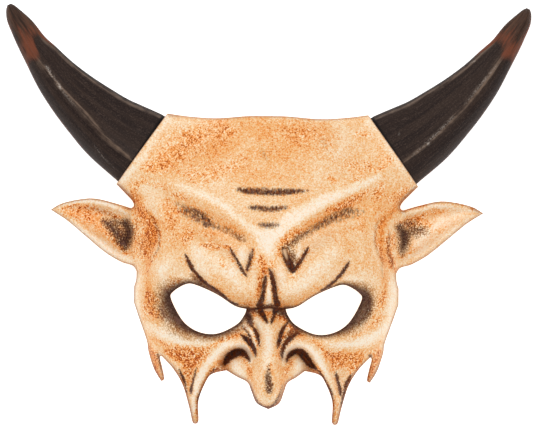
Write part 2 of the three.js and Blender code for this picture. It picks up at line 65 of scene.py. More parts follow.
# The face. Its driving sizes are those of the solid under it.
facePlan = {
    "wall": 3.5,
    "rimInset": 1.8,          # the dome's own edge lies this far outside the cut edge
    "domePower": 2.3,
    "domeLeast": 0.06,
    "lean": {"by": 2.0, "half": 22, "from": 15, "to": -15},   # how far nose and frown lines sit to +X
    "prongTipY": -143.0,      # lowest point of the plan, which ties it to the frame
    "outlineStep": 0.9,       # spacing of the points on the cut edges
    "eyeStep": 0.8,
    "grain": 1.05,            # of those on the front
    "fineGrain": 0.64,        # where brows, eyes, nose and wrinkles are
    "backGrain": 1.8,         # and on the back
    "fineArea": {"half": 64, "wider": 10, "top": 20, "low": -126},
    "clear": {"grain": 2.8, "fineGrain": 2.6, "backGrain": 1.2},   # how far they stay off the cut edges
    "edgeRows": [0.22, 0.55, 1.0, 1.6, 2.3],   # rows of points just inside each cut edge
    "rearRim": {"from": -140, "to": 66, "step": 1.2, "beside": 0.15},   # and beside the rim it rests on
    "crown": [(68, 42), (40, 55), (10, 64.5), (-20, 69), (-50, 68.5), (-70, 62), (-95, 56), (-120, 46),
              (-145, 34)],
    "halfWidth": [(68, 108), (40, 106), (20, 100), (4, 94), (-20, 91.5), (-60, 92), (-72, 88), (-85, 84),
                  (-97, 81.5), (-114, 76), (-130, 66), (-145, 58)],
    "noseRise": [(-60, 0), (-70, 3), (-84, 14), (-100, 30), (-116, 43), (-132, 44)],
    "noseBreadth": [(-60, 8), (-84, 8.6), (-98, 11), (-108, 13.5), (-118, 16), (-132, 17)],
    "noseCrisp": 2.6,
    "noseTipRadius": 8,
    "noseTip": {"from": -108, "to": -122, "out": 22, "in": 14},
    "noseHollow": [(-60, 0), (-84, 10), (-96, 22), (-103, 26), (-109, 0)],
    "noseHollowShare": 0.62,
    "tipBack": {"y": -113, "z": 65, "half": 17},
    "prongBack": {"x": 66, "from": -93, "to": -118, "z": 13},
    "rootStep": {"y": -66, "width": 5, "rise": -7, "from": 24, "to": 12},
    # rounding of the cut edges
    "lip": {"plain": 1.7, "seat": 0.7, "lidAbove": 3.0, "lidBelow": 1.4, "lidFrom": (-64, -60)},
    "pores": 0.16,            # fine unevenness of the cast skin, smooth for 3 mm beside the edges
    "poreSizes": (1.7, 3.6),
    "poreShares": (0.5, 0.8),
    "folds": 0.35,
    "foldSize": 8,
    "calmEdge": 3,
}

# Cut edge of the +X half, from the middle of the forehead to the middle of the nose
seatTop, seatLow = (68.3, 67.8), (102.6, 19.4)
edgePlan = {
    "forehead": [(0, 66.5), (14, 66.3), (34, 64.8), (52, 65.7), seatTop],
    "seat": [seatTop, seatLow],
    "notch": [seatLow, (97.2, 14), (91.6, 8), (90.6, 4.6), (92.6, 3.2)],
    "earTop": [(92.6, 3.2), (104, 6.6), (117, 9.5), (128, 8.8), (140, 5.9), (147.3, 1.6)],
    "earLow": [(147.3, 1.6), (136, -5.6), (123, -16.4), (110, -27), (99, -33.4), (91, -36), (88.2, -40)],
    "temple": [(88.2, -40), (88.6, -45.5), (90, -50)],
    "strapLanding": [(90, -50), (90, -61)],
    "cheekSide": [(90, -61), (86.6, -71), (81, -87), (79.8, -94.5), (76, -106), (71, -114.2)],
    "shortProng": [(71, -114.2), (69, -112.6), (70.4, -105), (72, -98.5), (71, -96.8)],
    "cheekLow": [(71, -96.8), (62.9, -105.4), (56.4, -116.3), (51.9, -131), (49.4, -141.6), (47, -143)],
    "longProng": [(47, -143), (45.3, -140.5), (45.4, -127), (40.2, -113.5), (36, -108.6), (26.5, -106.2)],
    "nose": [(26.5, -106.2), (20, -110.4), (13.6, -114), (11, -120), (7.6, -127.8), (0, -131.8)],
}
eyeHole = [(13.4, -64.4), (21.4, -62.3), (33.2, -54.8), (46.5, -48.9), (54, -47.9), (63, -53.2),
           (64.4, -58.5), (56.3, -73), (45.6, -80.2), (33, -81.2), (20, -75), (14.8, -68.5), (13.4, -64.4)]

# Mounds: centre, half sizes, turn, how flat-topped, rise, and the share that the back follows
mounds = [
    ("browPad", (31, -39), (31, 14.5), 36, 1.6, 9, 0.5),
    ("browCorner", (12, -54), (9, 10), 10, 1.3, 3, 0),
    ("outerLid", (70, -37), (13, 9), -30, 1.2, 4.5, 0.8),
    ("eyeBasin", (66, -62), (12, 14), -20, 1, -5, 1.1),
    ("nostrilLobe", (18, -106), (8.5, 8.5), 0, 1.3, 13, 0.5),
    ("prongPanel", (53.5, -113), (4.5, 12), 12, 1.2, -3.4, 1),
]
thickened = [
    ("behindFurrow", (0, -50), (16, 24), 0, 1.2, -4, 1),
    ("behindNoseRoot", (8, -74), (16, 13), 0, 1.2, -6, 1),
    ("behindNostril", (22, -99), (14, 11), 0, 1.4, -12, 1),
]

# Broad strokes, alike on both sides: line, half width, rise, fade at the ends, squareness, share of the back
strokes = [
    ("browCrest", [(90, 31), (70, 21.5), (50, 11.5), (30, 0.5), (14, -11), (0, -21)], 6.5, 3.4, 0.3, 1, 0.3),
    ("browHollow", [(80, 13), (62, 4.5), (44, -5), (26, -17), (12, -27)], 8.5, -4.6, 0.3, 1, 1),
    ("lowerLid", [(24, -84), (40, -88), (58, -83), (70, -68)], 6, 3.2, 0.3, 1, 0.6),
    ("innerNoseFold", [(14, -74), (11, -82), (8.4, -92)], 2.6, 3, 0.3, 1, 0),
    ("outerNoseFold", [(21, -79.5), (15.5, -83), (11.5, -88)], 2.4, 3, 0.3, 1, 0),
    ("nostrilArch", [(9.5, -101), (12, -93.5), (17.5, -89), (24, -89.5), (31, -94.5), (36.5, -103),
                     (41, -112), (45, -122), (47.5, -136), (47.5, -146)], 6.2, 7, 0.06, 1.2, 0.35),
    ("cheekEdge", [(66, -98), (60, -107), (55.5, -117), (51, -134)], 3, 1.8, 0.2, 1, 0),
    ("earRootCrease", [(86, 9), (77, -2), (74.5, -13), (78, -24), (82, -34),
                       (82, -46)], 3.4, -2.6, 0.2, 1, 0.5),
]

# Creases as they fall on each side: line, half width, depth, fade at the ends
creases = [
    ("longWrinkle", [(-23, 17), (-12, 15), (5, 14.7), (18, 15.2), (28, 16.4)], 1.9, 1.3, 0.25),
    ("middleWrinkle", [(-14, 4.6), (0.7, 2.8), (15, 4.8)], 1.8, 1.0, 0.3),
    ("shortWrinkle", [(-8, -6.6), (1.3, -7.8), (9, -6.4)], 1.6, 0.8, 0.3),
    ("leftOuterBrow", [(-56, -27), (-52.2, -35), (-48.3, -39.9), (-43.9, -44.3), (-36, -50)], 2.6, 3, 0.25),
    ("leftLidFold", [(-48, -41.5), (-41.6, -48.1), (-33, -52.5)], 1.5, 1.2, 0.3),
    ("rightOuterBrow", [(57.5, -28), (52.9, -39), (47.9, -44.6), (40, -48.6)], 2.6, 3, 0.25),
    ("leftFrownOut", [(-25.5, -21), (-20.8, -30.8), (-17.2, -36.9), (-13.8, -42)], 2.0, 2.8, 0.2),
    ("leftFrownIn", [(-9.8, -22), (-10.8, -30.7), (-12.1, -36.8), (-13.8, -42)], 1.9, 2.8, 0.2),
    ("rightFrownIn", [(10.6, -21), (13.7, -30), (15.8, -34.9), (17.8, -39)], 2.6, 3.2, 0.2),
    ("rightFrownOut", [(28.6, -21), (23.7, -30.4), (20.8, -35.4), (17.8, -39)], 2.0, 2.8, 0.2),
    ("leftFurrow", [(1.6, -36), (-1.3, -46), (-2.6, -52.8), (-4, -62)], 1.7, 3.2, 0.18),
    ("rightFurrow", [(2, -35), (4.8, -45), (6, -51.6), (6.7, -58.2), (9, -63)], 1.7, 3.4, 0.18),
    ("rootCrease", [(-14, -64.6), (-5, -63.6), (0.6, -64.6), (8.3, -63.7), (17, -64.4)], 1.5, 2.0, 0.15),
    ("rootDiamondLeft", [(-6, -65.5), (-1.6, -69.4), (1.8, -74)], 1.5, 1.3, 0.2),
    ("rootDiamondRight", [(9.4, -65.5), (5.6, -68.7), (2.8, -74)], 1.5, 1.3, 0.2),
    ("leftBridge", [(-10.4, -71.5), (-6.4, -78.2), (-4.6, -87)], 1.5, 2.2, 0.25),
    ("leftNoseGroove", [(-17.5, -81), (-11.4, -86.2), (-8.3, -91.5), (-6.9, -98)], 2.1, 2.8, 0.2),
    ("rightBridge", [(14.5, -73), (10.1, -80.9), (8.5, -89)], 1.5, 2.2, 0.25),
    ("rightNoseGroove", [(22, -80.2), (15.7, -84.9), (11.8, -90.3), (10.6, -97)], 2.1, 2.8, 0.2),
    ("leftNostril", [(-29.5, -104.5), (-26.8, -98.6), (-22.4, -94.8), (-16.5, -93.4), (-12.3, -96),
                     (-11, -100)],
     3.1, 9.5, 0.1),
    ("rightNostril", [(13.6, -101), (15.6, -96.4), (19.4, -93.5), (23.5, -94.2), (28.5, -99.2),
                      (32.4, -105.5)],
     3.1, 9.5, 0.1),
    ("noseCleft", [(2.3, -101), (2, -108), (2.4, -114.7), (2.8, -121)], 1.9, 2.2, 0.35),
    ("leftProngOuter", [(-59, -104.5), (-56, -113.5), (-53.2, -123)], 1.1, 0.9, 0.3),
    ("leftProngInner", [(-47.8, -106), (-50, -115.7), (-51.2, -124)], 1.1, 0.9, 0.3),
    ("rightProngInner", [(47.2, -106), (49.7, -115.4), (51, -125)], 1.1, 0.9, 0.3),
    ("rightProngOuter", [(58, -108), (54.1, -117.5), (51.6, -126)], 1.1, 0.9, 0.3),
]

earPlan = {
    "tipZ": 13, "rootZ": 16, "thinning": (140, 100),
    "blendZ": 27, "from": 68, "to": 103, "blend": 5, "taken": (66, 78),   # how it grows out of the face
    "low": -40, "high": 12, "fadeLow": 10, "fadeHigh": 8,
    "rimRise": 2.4, "rimAt": 2.6, "rimWidth": 2.4, "rimFrom": (86, 94),
    "bowlDepth": 4.6, "bowlSide": (4, 12), "bowlFrom": (88, 98), "bowlTo": (118, 142),
    "under": 7, "underTop": 4.6, "underTopOut": 13, "underOut": 96, "underLow": (-46, -43),
}
collarPlan = {
    "z": 20.5, "depth": 18.5, "skin": 2.2, "side": 1.2, "spread": 0.5,
    "from": 2, "to": 46, "foot": (2, 16),
    "shell": 1.7, "bulkhead": (15, 23), "inward": 19, "lower": 36,
}


def smooth(start, end, value):
    t = np.clip((value - start) / (end - start), 0, 1)
    return t * t * (3 - 2 * t)


def profile(knots, value):
    # a smooth curve through its knots
    k = np.array(sorted(knots), float)
    slope = np.empty(len(k))
    slope[1:-1] = (k[2:, 1] - k[:-2, 1]) / (k[2:, 0] - k[:-2, 0])
    slope[0] = (k[1, 1] - k[0, 1]) / (k[1, 0] - k[0, 0])
    slope[-1] = (k[-1, 1] - k[-2, 1]) / (k[-1, 0] - k[-2, 0])
    v = np.clip(value, k[0, 0], k[-1, 0])
    i = np.clip(np.searchsorted(k[:, 0], v, side="right") - 1, 0, len(k) - 2)
    h = k[i + 1, 0] - k[i, 0]
    t = (v - k[i, 0]) / h
    return ((2 * t**3 - 3 * t**2 + 1) * k[i, 1] + (t**3 - 2 * t**2 + t) * h * slope[i]
            + (3 * t**2 - 2 * t**3) * k[i + 1, 1] + (t**3 - t**2) * h * slope[i + 1])


def curve(points, steps):
    # Catmull-Rom line through its points
    p = np.array(points, float)
    p = np.vstack([p[:1], p, p[-1:]])
    t = (np.arange(steps) / steps)[:, None]
    parts = []
    for p0, p1, p2, p3 in zip(p[:-3], p[1:-2], p[2:-1], p[3:]):
        v0, v1 = (p2 - p0) / 2, (p3 - p1) / 2
        parts.append((2 * p1 - 2 * p2 + v0 + v1) * t**3 + (3 * p2 - 3 * p1 - 2 * v0 - v1) * t**2
                     + v0 * t + p1)
    return np.vstack([*parts, p[-1:]])


def evenly(line, spacing):
    # the same line with points a set distance apart
    runs = np.concatenate([[0], np.cumsum(np.hypot(*np.diff(line, axis=0).T))])
    at = np.linspace(0, runs[-1], max(int(round(runs[-1] / spacing)), 1) + 1)
    return np.column_stack([np.interp(at, runs, line[:, 0]), np.interp(at, runs, line[:, 1])])


def nearest(x, y, line):
    # distance to a line and how far along it the nearest place is
    best = np.full(x.shape, 1e9)
    along = np.zeros(x.shape)
    run = 0.0
    for (ax, ay), (bx, by) in zip(line[:-1], line[1:]):
        dx, dy = bx - ax, by - ay
        length = np.hypot(dx, dy)
        if length < 1e-9:
            continue
        t = np.clip(((x - ax) * dx + (y - ay) * dy) / length**2, 0, 1)
        distance = np.hypot(x - ax - t * dx, y - ay - t * dy)
        closer = distance < best
        best = np.where(closer, distance, best)
        along = np.where(closer, run + t * length, along)
        run += length
    return best, along / run


def moundShape(x, y, at, size, turn, crisp):
    c, s = np.cos(np.radians(turn)), np.sin(np.radians(turn))
    u = ((x - at[0]) * c + (y - at[1]) * s) / size[0]
    v = ((y - at[1]) * c - (x - at[0]) * s) / size[1]
    return np.exp(-(u * u + v * v) ** crisp)


def strokeShape(x, y, points, width, ends=0.3, crisp=1.0):
    line = curve(points, 6)
    reach = 3.2 * width
    low, high = line.min(axis=0) - reach, line.max(axis=0) + reach
    close = (x > low[0]) & (x < high[0]) & (y > low[1]) & (y < high[1])
    shape = np.zeros(x.shape)
    distance, share = nearest(x[close], y[close], line)
    fade = smooth(0, ends, share) * smooth(0, ends, 1 - share) if ends else 1
    shape[close] = fade * np.exp(-((distance / width) ** 2) ** crisp)
    return shape


def seatPlace(x, y):
    # along the seat edge, inwards from it, and half its length
    run = np.subtract(seatLow, seatTop)
    length = np.hypot(*run)
    ux, uy = run / length
    mx, my = np.add(seatLow, seatTop) / 2
    return (x - mx) * ux + (y - my) * uy, (x - mx) * uy - (y - my) * ux, length / 2


def hornFront(t):
    # front of a horn's section: 0 at both edges, 1 on the ridge, upper panel dished
    ridge = hornPlan["ridge"]
    upper = t < ridge
    u = np.clip(np.where(upper, (ridge - t) / (1 + ridge), (t - ridge) / (1 - ridge)), 0, 1)
    return (1 - u**1.5) ** (1 / 1.6) - np.where(upper, hornPlan["panelDip"] * np.sin(np.pi * u) ** 2, 0)


def collarArch(x, y):
    c = collarPlan
    along, inward, half = seatPlace(x, y)
    reach = half + c["side"] + c["spread"] * np.maximum(inward, 0)
    arch = c["z"] + (c["depth"] + c["skin"]) * hornFront(np.clip(along / reach, -1, 1))
    return arch, (1 - smooth(c["from"], c["to"], inward)) * smooth(*c["foot"], y)


def dome(x, y, sink, inset, least):
    p = facePlan["domePower"]
    height = profile(facePlan["crown"], y) - sink
    half = profile(facePlan["halfWidth"], y) - inset
    return height * np.clip(1 - (np.abs(x) / half) ** p, least, 1) ** (1 / p)


def leanAt(x, y):
    lean = facePlan["lean"]
    return lean["by"] * np.exp(-((x / lean["half"]) ** 2)) * smooth(lean["from"], lean["to"], y)


def earInset(x, y):
    top, _ = nearest(x, y, curve(edgePlan["earTop"], 6))
    low, _ = nearest(x, y, curve(edgePlan["earLow"], 6))
    return np.minimum(top, low)


def earShape(x, y):
    e = earPlan
    plate = (e["tipZ"] + (e["rootZ"] - e["tipZ"]) * smooth(*e["thinning"], x)
             + e["blendZ"] * (1 - smooth(e["from"], e["to"], x)))
    inset = earInset(x, y)
    rim = e["rimRise"] * np.exp(-(((inset - e["rimAt"]) / e["rimWidth"]) ** 2)) * smooth(*e["rimFrom"], x)
    bowl = (e["bowlDepth"] * smooth(*e["bowlSide"], inset) * smooth(*e["bowlFrom"], x)
            * (1 - smooth(*e["bowlTo"], x)))
    return plate + rim - bowl


def frontHeight(xTrue, y):
    f, e = facePlan, earPlan
    x = np.abs(xTrue - leanAt(xTrue, y))
    z = dome(x, y, 0, 0, f["domeLeast"])
    atEar = (x > e["from"] - 4) & (y > e["low"]) & (y < e["high"])
    ex, ey, ez = x[atEar], y[atEar], z[atEar]
    earZ = earShape(ex, ey)
    toEar = (smooth(e["low"], e["low"] + e["fadeLow"], ey) * smooth(e["high"], e["high"] - e["fadeHigh"], ey)
             * smooth(*e["taken"], ex))
    blended = e["blend"] * np.log(np.exp(ez / e["blend"]) + np.exp(earZ / e["blend"]))
    z[atEar] = np.where(ex > profile(f["halfWidth"], ey), earZ, ez + toEar * (blended - ez))
    arch, weight = collarArch(x, y)
    z += weight * (arch - z)
    for name, at, size, turn, crisp, rise, inside in mounds:
        z += rise * moundShape(x, y, at, size, turn, crisp)
    for name, line, width, rise, ends, crisp, inside in strokes:
        z += rise * strokeShape(x, y, line, width, ends, crisp)
    for name, line, width, depth, ends in creases:
        z -= depth * strokeShape(xTrue, y, line, width, ends)
    r = f["rootStep"]
    z += r["rise"] * np.exp(-(((y - r["y"]) / r["width"]) ** 2)) * smooth(r["from"], r["to"], x)
    z += profile(f["noseRise"], y) * np.exp(-((x / profile(f["noseBreadth"], y)) ** f["noseCrisp"]))
    return z


def backHeight(xTrue, y):
    # the wearer's side, with the spaces under collars, ears, short prongs and the nose tip
    f, c, e = facePlan, collarPlan, earPlan
    x = np.abs(xTrue - leanAt(xTrue, y))
    z = dome(x, y, f["wall"], f["rimInset"] + f["wall"], 0)
    arch, weight = collarArch(x, y)
    z += weight * (np.minimum(arch - f["wall"], z) - z)
    deep = np.clip(z / 10, 0, 1)      # near the rear rim the back stays plain
    for name, at, size, turn, crisp, rise, inside in mounds:
        z += deep * inside * rise * moundShape(x, y, at, size, turn, crisp)
    for name, line, width, rise, ends, crisp, inside in strokes:
        z += deep * inside * rise * strokeShape(x, y, line, width, ends, crisp)
    for name, at, size, turn, crisp, rise, inside in thickened:
        z += rise * moundShape(x, y, at, size, turn, crisp)
    breadth = profile(f["noseBreadth"], y) * f["noseHollowShare"]
    z += profile(f["noseHollow"], y) * np.exp(-((x / breadth) ** f["noseCrisp"]))
    along, inward, half = seatPlace(x, y)
    z = np.maximum(z, 0) * smooth(*c["bulkhead"], inward)
    oval = c["z"] - (c["depth"] + c["shell"]) * np.sqrt(np.clip(1 - (along / (half + c["side"])) ** 2, 0, 1))
    underCollar = smooth(c["inward"] + 6, c["inward"], inward) * smooth(c["lower"] + 2, c["lower"], along)
    z = np.maximum(z, oval * underCollar)
    earTop = np.where(x > e["underOut"], e["underTopOut"], e["underTop"])
    underEar = (x > profile(f["halfWidth"], y) - f["rimInset"]) & (y < earTop)
    earBack = e["under"] * smooth(*e["underLow"], y) * smooth(earTop, earTop - 2, y)
    z = np.where(underEar, np.maximum(z, earBack), z)
    b, t = f["prongBack"], f["tipBack"]
    prongBack = np.interp(y, [b["to"], b["from"]], [b["z"], 0])
    z = np.where((x > b["x"]) & (y < b["from"]), np.maximum(z, prongBack), z)
    return np.where((y < t["y"]) & (np.abs(xTrue) < t["half"]), np.maximum(z, t["z"]), z)


hornPlan = {
    "rootLength": 10.5, "rootTaper": 3, "ridge": 0.26, "panelDip": 0.1, "gap": 0.3,
    "sides": 168, "rings": 250,
    "spine": [(76.9, 37.5), (86, 43.6), (106, 56.5), (119.1, 67.4), (131.8, 79.1), (143.5, 91.7),
              (152.8, 103.8), (160.2, 113.6), (167, 124.5), (172.8, 133), (176.9, 141.2)],
    "halfWidth": [(0, 27.5), (24, 23.9), (58, 18.1), (91, 12.3), (103, 10), (116, 8.4), (126, 6.3),
                  (130.5, 4.65), (133.6, 3.1), (135.5, 1.5)],
    "depthShare": 0.6, "depthLeast": 2,
    "lift": [(0, 2), (30, 0.4), (60, 0), (90, 0.4), (135, 6)],
    "bead": 0.7, "beadWidth": 0.055,      # the fine ridge line
    "band": -0.84, "bandStep": 0.35,      # a shallow step just inside the upper edge
    "streaks": 0.1, "streakSizes": (0.9, 2.4), "streakStretch": (18, 9),
    "plainRoot": (-2, 4), "plainTip": (10.5, 40),    # where the carving fades out, the second from the tip
    "cutterPast": 8, "cutterRings": 24,
}
# where the fine ridge line runs across each horn
ridgeShare = {1: [(0, 0.36), (60, 0.29), (110, 0.23)],
              -1: [(0, 0.36), (22, 0.27), (48, 0.13), (72, 0.15), (96, 0.24), (112, 0.24)]}


def wholeOutline(spacing):
    half = []
    for part, points in edgePlan.items():
        half.append(evenly(curve(points, 1 if part == "seat" else 12), spacing)[:-1])
    half = np.vstack([*half, [edgePlan["nose"][-1]]])
    line = np.vstack([half, half[1:-1][::-1] * (-1, 1)])
    onNose = smooth(-100, -112, line[:, 1]) * smooth(30, 20, np.abs(line[:, 0]))
    line[:, 0] += onNose * leanAt(line[:, 0], line[:, 1])
    return line


def eyeOutlines(spacing):
    right = evenly(curve(eyeHole, 12), spacing)[:-1]
    return [right, right * (-1, 1)]


class EdgeFinder:
    # the nearest place on a set of cut edges: how far off, where, and what share of the way round
    spacing = 0.12

    def __init__(self, loops):
        rings = [evenly(np.vstack([loop, loop[:1]]), self.spacing) for loop in loops]
        self.places = np.vstack(rings)
        self.share = np.concatenate([np.linspace(0, 1, len(ring)) for ring in rings])
        self.tree = KDTree(len(self.places))
        for i, (x, y) in enumerate(self.places):
            self.tree.insert((x, y, 0), i)
        self.tree.balance()

    def find(self, x, y):
        found = [self.tree.find((a, b, 0)) for a, b in zip(x, y)]
        index = np.array([f[1] for f in found])
        return np.array([f[2] for f in found]), self.places[index], self.share[index]


def insideLoop(x, y, loop):
    inside = np.zeros(x.shape, bool)
    for (ax, ay), (bx, by) in zip(loop, np.roll(loop, -1, axis=0)):
        if ay != by:
            inside ^= ((ay > y) != (by > y)) & (x < (bx - ax) * (y - ay) / (by - ay) + ax)
    return inside


def valueNoise(x, y, size, seed):
    # smooth seeded noise over the plan, from -1 to 1
    cells = 256
    table = np.random.default_rng(seed).uniform(-1, 1, (cells, cells))
    u, v = x / size + 91.3, y / size + 57.1      # shifted, so that no cell's edge runs down the middle
    i, j = np.floor(u).astype(int), np.floor(v).astype(int)
    fu, fv = u - i, v - j
    fu, fv = fu * fu * (3 - 2 * fu), fv * fv * (3 - 2 * fv)

    def pick(a, b):
        return table[a % cells, b % cells]

    low = pick(i, j) * (1 - fu) + pick(i + 1, j) * fu
    high = pick(i, j + 1) * (1 - fu) + pick(i + 1, j + 1) * fu
    return low * (1 - fv) + high * fv


outline = wholeOutline(facePlan["outlineStep"])
eyes = eyeOutlines(facePlan["eyeStep"])
outerEdge = EdgeFinder([outline])
eyeEdge = EdgeFinder(eyes)


def onMask(x, y):
    inside = insideLoop(x, y, outline)
    for eye in eyes:
        inside &= ~insideLoop(x, y, eye)
    return inside


def edgesAt(x, y):
    fromOuter, outerPlace, _ = outerEdge.find(x, y)
    fromEye, eyePlace, eyeShare = eyeEdge.find(x, y)
    return {"outer": fromOuter, "outerPlace": outerPlace,
            "eye": fromEye, "eyePlace": eyePlace, "eyeShare": eyeShare}


def nextToSeat(edges):
    # true where the nearest cut edge is the one that a horn meets
    px, py = edges["outerPlace"].T
    return np.abs(seatPlace(np.abs(px), py)[1]) < 0.2


def roundedFront(x, y, edges):
    # the carved front with its cut edges rounded over, and a fine unevenness
    f = facePlan
    z = frontHeight(x, y)
    away = smooth(0, f["calmEdge"], np.minimum(edges["outer"], edges["eye"]))
    fineSize, broadSize = f["poreSizes"]
    fineShare, broadShare = f["poreShares"]
    z += away * f["pores"] * (valueNoise(x, y, fineSize, 3) * fineShare
                              + valueNoise(x, y, broadSize, 4) * broadShare)
    # the soft folds run slantwise
    z += away * f["folds"] * valueNoise(x * 0.8 + y * 0.6, (y * 0.8 - x * 0.6) * 0.55, f["foldSize"], 5)
    n, lip = f["noseTip"], f["lip"]
    tip = smooth(n["from"], n["to"], y) * smooth(n["out"], n["in"], np.abs(x - leanAt(x, y)))
    radius = np.where(nextToSeat(edges), lip["seat"], lip["plain"])
    radius = radius * (1 - tip) + f["noseTipRadius"] * tip
    reach = radius - np.clip(edges["outer"], 0, radius)
    z -= radius - np.sqrt(np.maximum(radius**2 - reach**2, 0))
    eyeX, eyeY = edges["eyePlace"].T
    above = smooth(*lip["lidFrom"], eyeY - 0.1 * np.abs(eyeX) + 2)      # above the slanting middle of the eye
    radius = lip["lidBelow"] + (lip["lidAbove"] - lip["lidBelow"]) * above
    reach = radius - np.clip(edges["eye"], 0, radius)
    return z - radius + np.sqrt(np.maximum(radius**2 - reach**2, 0))


def triangulate(loops, extra):
    # triangles over the mask's plan, with each loop's own points in order
    points = np.vstack([*loops, extra])
    sides, start, ends = [], 0, []
    for loop in loops:
        sides += [(start + i, start + (i + 1) % len(loop)) for i in range(len(loop))]
        ends.append((start, start + len(loop)))
        start += len(loop)
    places, _, faces, origins, _, _ = delaunay_2d_cdt([Vector(p) for p in points], sides, [], 0, 1e-5)
    places = np.array([(p.x, p.y) for p in places])
    faces = np.array([face for face in faces if len(face) == 3])
    middle = places[faces].mean(axis=1)
    faces = faces[onMask(middle[:, 0], middle[:, 1])]
    where = {}
    for new, olds in enumerate(origins):
        for old in olds:
            where[old] = new
    rings = [[where[i] for i in range(a, b)] for a, b in ends]
    used = np.unique(np.concatenate([faces.ravel(), *map(np.array, rings)]))
    renumber = np.full(len(places), -1)
    renumber[used] = np.arange(len(used))
    return places[used], renumber[faces], [[renumber[i] for i in ring] for ring in rings]


def ringsInside(loop, offsets, outward):
    # rows of points just inside a cut edge, left out where another edge is nearer
    tangent = np.roll(loop, -1, axis=0) - np.roll(loop, 1, axis=0)
    normal = np.column_stack([tangent[:, 1], -tangent[:, 0]]) / np.hypot(*tangent.T)[:, None] * outward
    rows = np.vstack([loop + normal * offset for offset in offsets])
    wanted = np.repeat(offsets, len(loop))
    keep = onMask(*rows.T)
    rows, wanted = rows[keep], wanted[keep]
    edges = edgesAt(*rows.T)
    return rows[np.minimum(edges["outer"], edges["eye"]) > wanted - 0.03]


def finelyCarved(points):
    area = facePlan["fineArea"]
    x, y = np.abs(points[:, 0]), points[:, 1]
    return (x < area["half"] + area["wider"] * smooth(-10, -60, y)) & (y < area["top"]) & (y > area["low"])


def hexGrid(grain, fine=None):
    spacing, clear = facePlan[grain], facePlan["clear"][grain]
    low, high = outline.min(axis=0), outline.max(axis=0)
    rowStep = spacing * 0.866      # rows of equal-sided triangles
    rows = []
    for j, y in enumerate(np.arange(low[1], high[1], rowStep)):
        xs = np.arange(low[0] + (j % 2) * spacing / 2, high[0], spacing)
        rows.append(np.column_stack([xs, np.full(len(xs), y)]))
    points = np.vstack(rows)
    if fine is not None:
        points = points[finelyCarved(points) == fine]
    points = points[onMask(*points.T)]
    edges = edgesAt(*points.T)
    return points[np.minimum(edges["outer"], edges["eye"]) > clear]


def areaSign(loop):
    x, y = loop.T
    return np.sign(np.sum(x * np.roll(y, -1) - np.roll(x, -1) * y))


def meshObject(name, places, faces):
    mesh = bpy.data.meshes.new(name)
    mesh.vertices.add(len(places))
    mesh.vertices.foreach_set("co", (np.asarray(places) * mm).ravel())
    mesh.loops.add(faces.size)
    mesh.loops.foreach_set("vertex_index", faces.ravel().astype(np.int32))
    mesh.polygons.add(len(faces))
    mesh.polygons.foreach_set("loop_start", np.arange(0, faces.size, faces.shape[1], dtype=np.int32))
    mesh.update(calc_edges=True)
    mesh.validate()
    thing = bpy.data.objects.new(name, mesh)
    bpy.context.collection.objects.link(thing)
    return thing


def turnOf(places, faces):
    # above 0 where a triangle runs anticlockwise in the plan
    a, b, c = (places[faces[:, corner]] for corner in range(3))
    return np.cross(b - a, c - a)


def buildFace():
    loops = [outline, *eyes]
    turn = areaSign(outline)
    offsets = facePlan["edgeRows"]
    nearEdges = [ringsInside(outline, offsets, -turn)]
    nearEdges += [ringsInside(eye, offsets, areaSign(eye)) for eye in eyes]
    grids = [hexGrid("grain", False), hexGrid("fineGrain", True)]
    front, frontFaces, frontRings = triangulate(loops, np.vstack([*nearEdges, *grids]))
    r = facePlan["rearRim"]
    rows = np.arange(r["from"], r["to"], r["step"])
    flank = profile(facePlan["halfWidth"], rows) - facePlan["rimInset"]
    steps = [place + beside for place in (0, -facePlan["wall"]) for beside in (r["beside"], -r["beside"])]
    rim = np.array([(side * (x + step), y) for x, y in zip(flank, rows) for side in (1, -1)
                    for step in steps])
    rim = rim[onMask(*rim.T)]
    back, backFaces, backRings = triangulate(loops, np.vstack([rim, hexGrid("backGrain")]))
    edges = edgesAt(*front.T)
    top = np.column_stack([front, roundedFront(front[:, 0], front[:, 1], edges)])
    under = np.column_stack([back, np.maximum(backHeight(back[:, 0], back[:, 1]), 0)])
    wrong = turnOf(front, frontFaces) < 0
    frontFaces[wrong] = frontFaces[wrong][:, ::-1]
    wrong = turnOf(back, backFaces) > 0
    backFaces[wrong] = backFaces[wrong][:, ::-1]
    sides = []
    turns = (turn, *(-areaSign(eye) for eye in eyes))
    for upper, lower, loop, outward in zip(frontRings, backRings, loops, turns):
        for i in range(len(loop)):
            a, b = upper[i], upper[(i + 1) % len(loop)]
            c, d = lower[(i + 1) % len(loop)] + len(top), lower[i] + len(top)
            sides += [(a, d, c), (a, c, b)] if outward > 0 else [(a, c, d), (a, b, c)]
    faces = np.vstack([frontFaces, backFaces + len(top), np.array(sides)])
    return meshObject("carvedFace", np.vstack([top, under]), faces)


faceLow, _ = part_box("mask_face")
shiftY = faceLow[1] / mm - facePlan["prongTipY"]
face = buildFace()
print("face carved", len(face.data.vertices), "points, moved", round(shiftY, 3), "mm onto the frame")


